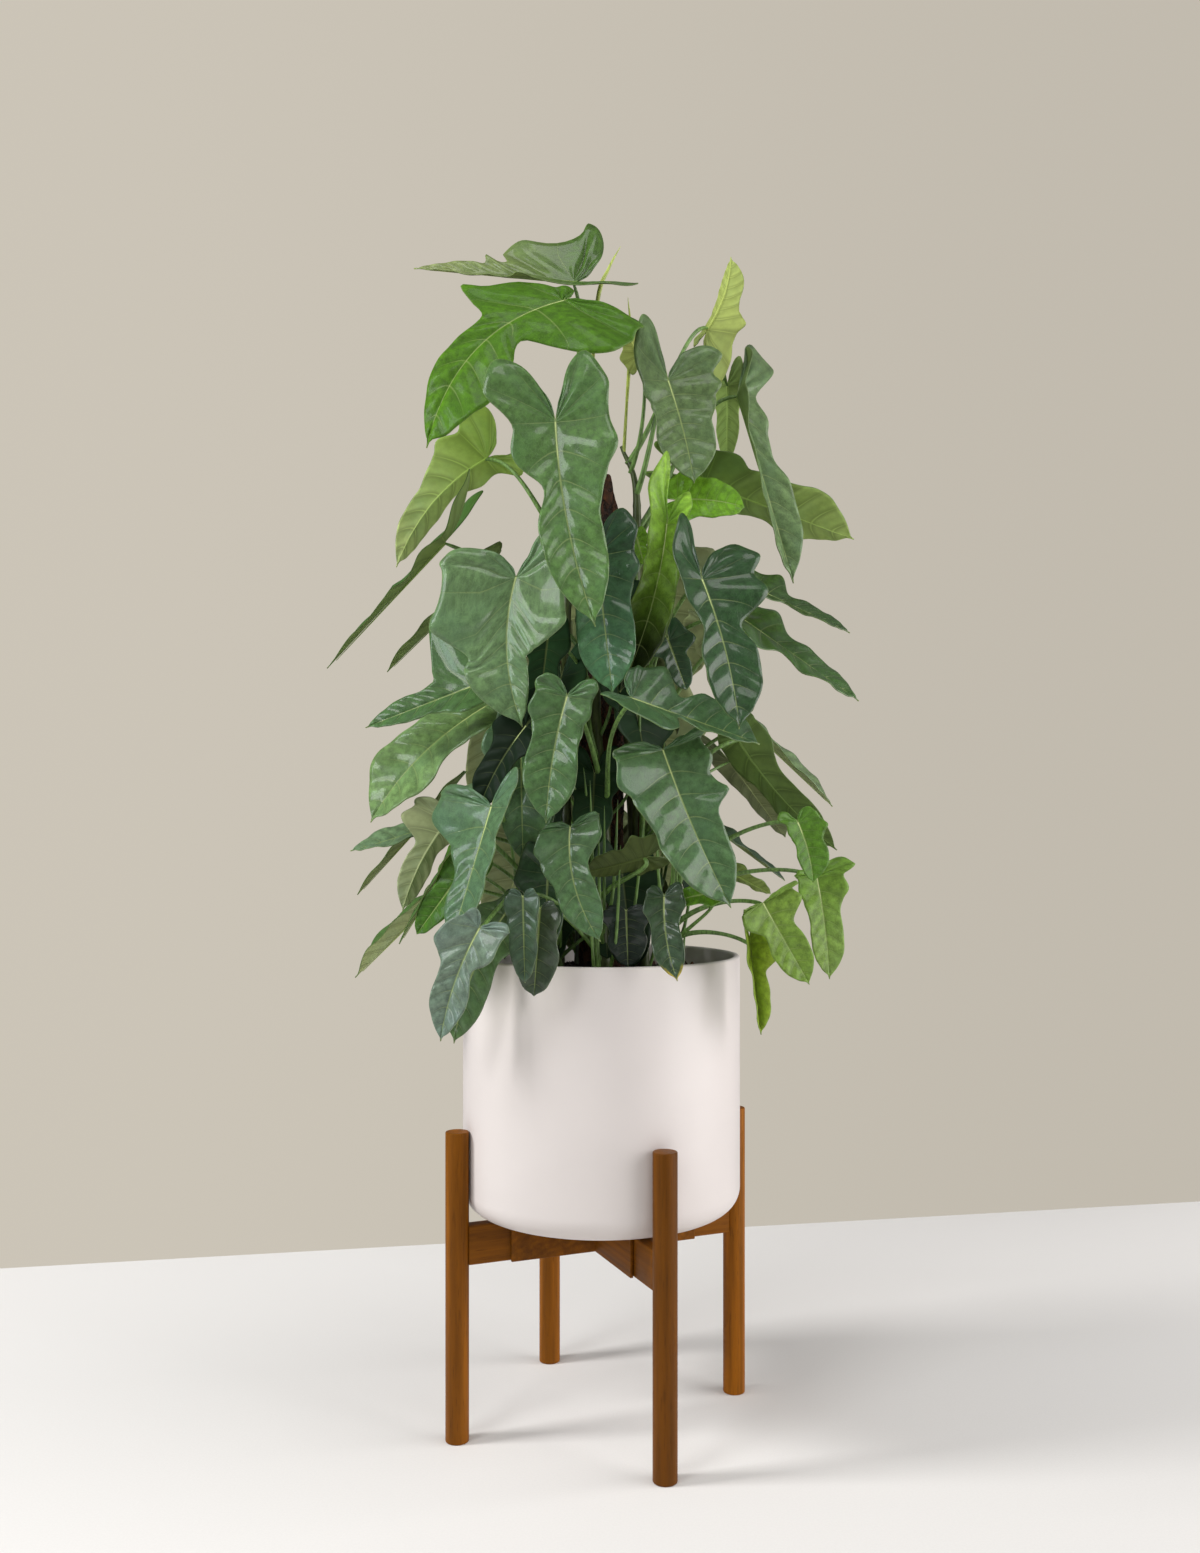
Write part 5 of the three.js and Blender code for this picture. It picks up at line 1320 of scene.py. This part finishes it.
class PLANT_OT_small_leaves(bpy.types.Operator):
    """Small leaves and the leaves behind, which belong to their stems"""

    bl_idname = "plant.small_leaves"
    bl_label = "Small and rear leaves"

    def execute(self, context):
        finishes = leaf_finishes(context.scene.leaf_colours)
        for number, row in enumerate(SMALL_LEAVES + inner_rows()):
            leaf = Leaf(row, number + 100)
            build_leaf(leaf, context.scene.leaf_sizes, finishes, leaf.stem)
        return {"FINISHED"}


class PLANT_OT_stand(bpy.types.Operator):
    """Wooden stand: round legs, bars that are tenoned into them, and a crossed hub"""

    bl_idname = "plant.stand"
    bl_label = "Stand"

    def execute(self, context):
        sizes = context.scene.stand_sizes
        colours = context.scene.set_colours
        # Painted shade: the arms and the hub are a darker copy of the wood, for the shade under the planter
        shaded_bar_wood = tinted(colours.wood, 0.78)
        # Painted light and shade: each leg has its own copy of the wood, darker or lighter by how light
        # falls on it
        leg_light = {"front": 0.6, "right": 1.3, "back": 1.1, "left": 1.0}
        for number, (side, tone) in enumerate(leg_light.items()):
            turn = math.radians(STAND_TURN + 90 * number)
            upright = wood_finish("leg_wood_" + side, tinted(colours.wood, tone), colours.wood_dark)
            self.leg(side, turn, sizes, upright)
            self.arm(side, turn, sizes, wood_finish("arm_wood_" + side, shaded_bar_wood, colours.wood_dark, turn))
        turn = math.radians(STAND_TURN)
        self.hub(turn, sizes, wood_finish("hub_wood", shaded_bar_wood, colours.wood_dark, turn))
        return {"FINISHED"}

    def leg(self, side, turn, sizes, look):
        """A turned leg with eased ends."""
        x = POT_AXIS.x + sizes.leg_circle * math.cos(turn)
        y = POT_AXIS.y + sizes.leg_circle * math.sin(turn)
        leg = add_cylinder(side + "_leg", 64, sizes.leg_radius, LEG_LOW.z, LEG_HIGH.z, x, y)
        for height, width in ((LEG_HIGH.z, 0.0012), (LEG_LOW.z, 0.0015)):
            round_edges(leg, on_circle(height, sizes.leg_radius, x, y), width, 4)
        smooth(leg, 40)
        finish_piece(painted(leg, look), "wood", "leg_" + side)

    def arm(self, side, turn, sizes, look):
        """A bar from the hub's slot to its leg."""
        low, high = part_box("arm_" + side)
        start, end = sizes.arm_start, sizes.leg_circle - sizes.leg_radius * ARM_END
        middle = (start + end) / 2
        deselect()
        bpy.ops.mesh.primitive_cube_add(size=1, rotation=(0, 0, turn), location=(
            POT_AXIS.x + middle * math.cos(turn), POT_AXIS.y + middle * math.sin(turn),
            (low.z + high.z) / 2), scale=(end - start, sizes.arm_width, high.z - low.z))
        arm = new_primitive(side + "_arm")
        apply_modifier(arm, "BEVEL", width=sizes.edge, segments=3)
        smooth(arm, 40)
        finish_piece(painted(arm, look), "wood", "arm_" + side)

    def hub(self, turn, sizes, look):
        """Two crossed bars with a slot for each arm."""
        half = sizes.hub_width / 2
        slot = sizes.arm_width / 2 + HUB_GAP
        fork = [(half, -half), (sizes.hub_half, -half), (sizes.hub_half, -slot), (sizes.arm_start, -slot),
                (sizes.arm_start, slot), (sizes.hub_half, slot), (sizes.hub_half, half)]
        corners = []
        for number in range(4):
            cos, sin, _ = heading(turn + number * math.pi / 2)
            corners += [(POT_AXIS.x + x * cos - y * sin, POT_AXIS.y + x * sin + y * cos, HUB_LOW.z)
                        for x, y in fork]
        mesh = bpy.data.meshes.new("crossed_hub")
        mesh.from_pydata(corners, [], [list(range(len(corners)))])
        hub = add_object("crossed_hub", mesh)
        select_only(hub)
        bpy.ops.object.mode_set(mode="EDIT")
        bpy.ops.mesh.select_all(action="SELECT")
        bpy.ops.mesh.extrude_region_move(
            TRANSFORM_OT_translate={"value": (0, 0, HUB_HIGH.z - HUB_LOW.z)})
        bpy.ops.mesh.select_all(action="SELECT")
        bpy.ops.mesh.normals_make_consistent(inside=False)
        leave_edit()
        apply_modifier(hub, "BEVEL", width=sizes.edge * 0.7, segments=3, limit_method="ANGLE")
        smooth(hub, 40)
        finish_piece(painted(hub, look), "wood", "stand_hub")


class PLANT_OT_stage(bpy.types.Operator):
    """Pale floor, soft lights and the camera"""

    bl_idname = "plant.stage"
    bl_label = "Stage"

    def execute(self, context):
        colours = context.scene.set_colours
        self.floor(colours)
        self.surroundings(context.scene, colours)
        self.lights()
        self.camera(context.scene)
        context.scene.view_settings.view_transform = "Standard"
        return {"FINISHED"}

    def floor(self, colours):
        """A flat floor whose back edge runs a little askew, as in the photograph."""
        deselect()
        bpy.ops.mesh.primitive_plane_add(size=2)
        floor = new_primitive("studio_floor")
        left, right, front = -6, 7, -3.3
        back_left, back_right = (-0.89, 0.502), (1.051, 0.865)
        slope = (back_right[1] - back_left[1]) / (back_right[0] - back_left[0])
        back = [(x, back_left[1] + slope * (x - back_left[0]), 0) for x in (left, right)]
        set_points(floor, np.array([(left, front, 0), (right, front, 0), *back], float))
        painted(floor, stage_finish("studio_floor", colours.floor))

    def surroundings(self, scene, colours):
        """The studio's dim light from all round, and a backdrop that only the camera sees."""
        world = bpy.data.worlds.new("studio")
        scene.world = world
        world.use_nodes = True
        background = world.node_tree.nodes["Background"]
        background.inputs["Color"].default_value = (0.55, 0.54, 0.53, 1)
        background.inputs["Strength"].default_value = 0.34
        deselect()
        bpy.ops.mesh.primitive_uv_sphere_add(segments=48, ring_count=24, radius=9.0)
        backdrop = new_primitive("studio_backdrop")
        smooth(backdrop)
        painted(backdrop, backdrop_finish("studio_backdrop", colours.backdrop))
        for ray in ("diffuse", "glossy", "transmission", "volume_scatter", "shadow"):
            setattr(backdrop, "visible_" + ray, False)

    def lights(self):
        """Soft rectangular lights."""
        for name, place, aim, width, height, power, tint, glossy in LIGHTS:
            data = bpy.data.lights.new(name, "AREA")
            data.shape = "RECTANGLE"
            data.size = width
            data.size_y = height
            data.energy = power
            data.color = tint
            lamp = add_object(name, data)
            lamp.location = place
            lamp.visible_glossy = glossy
            lamp.visible_diffuse = not name.endswith("gloss")
            lamp.rotation_euler = (Vector(aim) - Vector(place)).to_track_quat("-Z", "Y").to_euler()

    def camera(self, scene):
        """The photograph's camera."""
        view = bpy.data.cameras.new("photo_camera")
        view.lens = CAMERA_LENS
        view.sensor_width = 36.0
        view.shift_y = CAMERA_SHIFT
        view.clip_end = 50.0
        camera = add_object("photo_camera", view)
        camera.location = in_frame(CAMERA_PLACE)
        camera.rotation_euler = (math.pi / 2, 0, 0)
        scene.camera = camera


class PLANT_PT_panel(bpy.types.Panel):
    """Lists the sizes, the colours and the pieces"""

    bl_label = "Potted philodendron"
    bl_space_type = "VIEW_3D"
    bl_region_type = "UI"
    bl_category = "Plant"

    def draw(self, context):
        for group in GROUPS:
            section = self.layout.box()
            section.label(text=group.replace("_", " ").capitalize())
            values = getattr(context.scene, group)
            for key in values.__annotations__:
                section.prop(values, key)
        for operator in OPERATORS:
            self.layout.operator(operator.bl_idname)


GROUPS = {
    "planter_sizes": PlanterSizes,
    "stand_sizes": StandSizes,
    "leaf_sizes": LeafSizes,
    "leaf_colours": LeafColours,
    "set_colours": SetColours,
}
OPERATORS = (PLANT_OT_planter, PLANT_OT_soil, PLANT_OT_pole, PLANT_OT_large_leaves,
             PLANT_OT_small_leaves, PLANT_OT_stems, PLANT_OT_stand, PLANT_OT_stage)


def register():
    """Adds the classes and their settings to Blender."""
    for made in (*GROUPS.values(), *OPERATORS, PLANT_PT_panel):
        bpy.utils.register_class(made)
    for name, group in GROUPS.items():
        setattr(bpy.types.Scene, name, PointerProperty(type=group))


def unregister():
    """Takes the classes and their settings away again."""
    for name in GROUPS:
        delattr(bpy.types.Scene, name)
    for made in reversed((*GROUPS.values(), *OPERATORS, PLANT_PT_panel)):
        bpy.utils.unregister_class(made)


def main():
    """Builds every piece."""
    register()
    bpy.ops.plant.planter()
    bpy.ops.plant.soil()
    bpy.ops.plant.pole()
    bpy.ops.plant.large_leaves()
    bpy.ops.plant.small_leaves()
    bpy.ops.plant.stems()
    bpy.ops.plant.stand()
    bpy.ops.plant.stage()


if __name__ == "__main__":
    main()
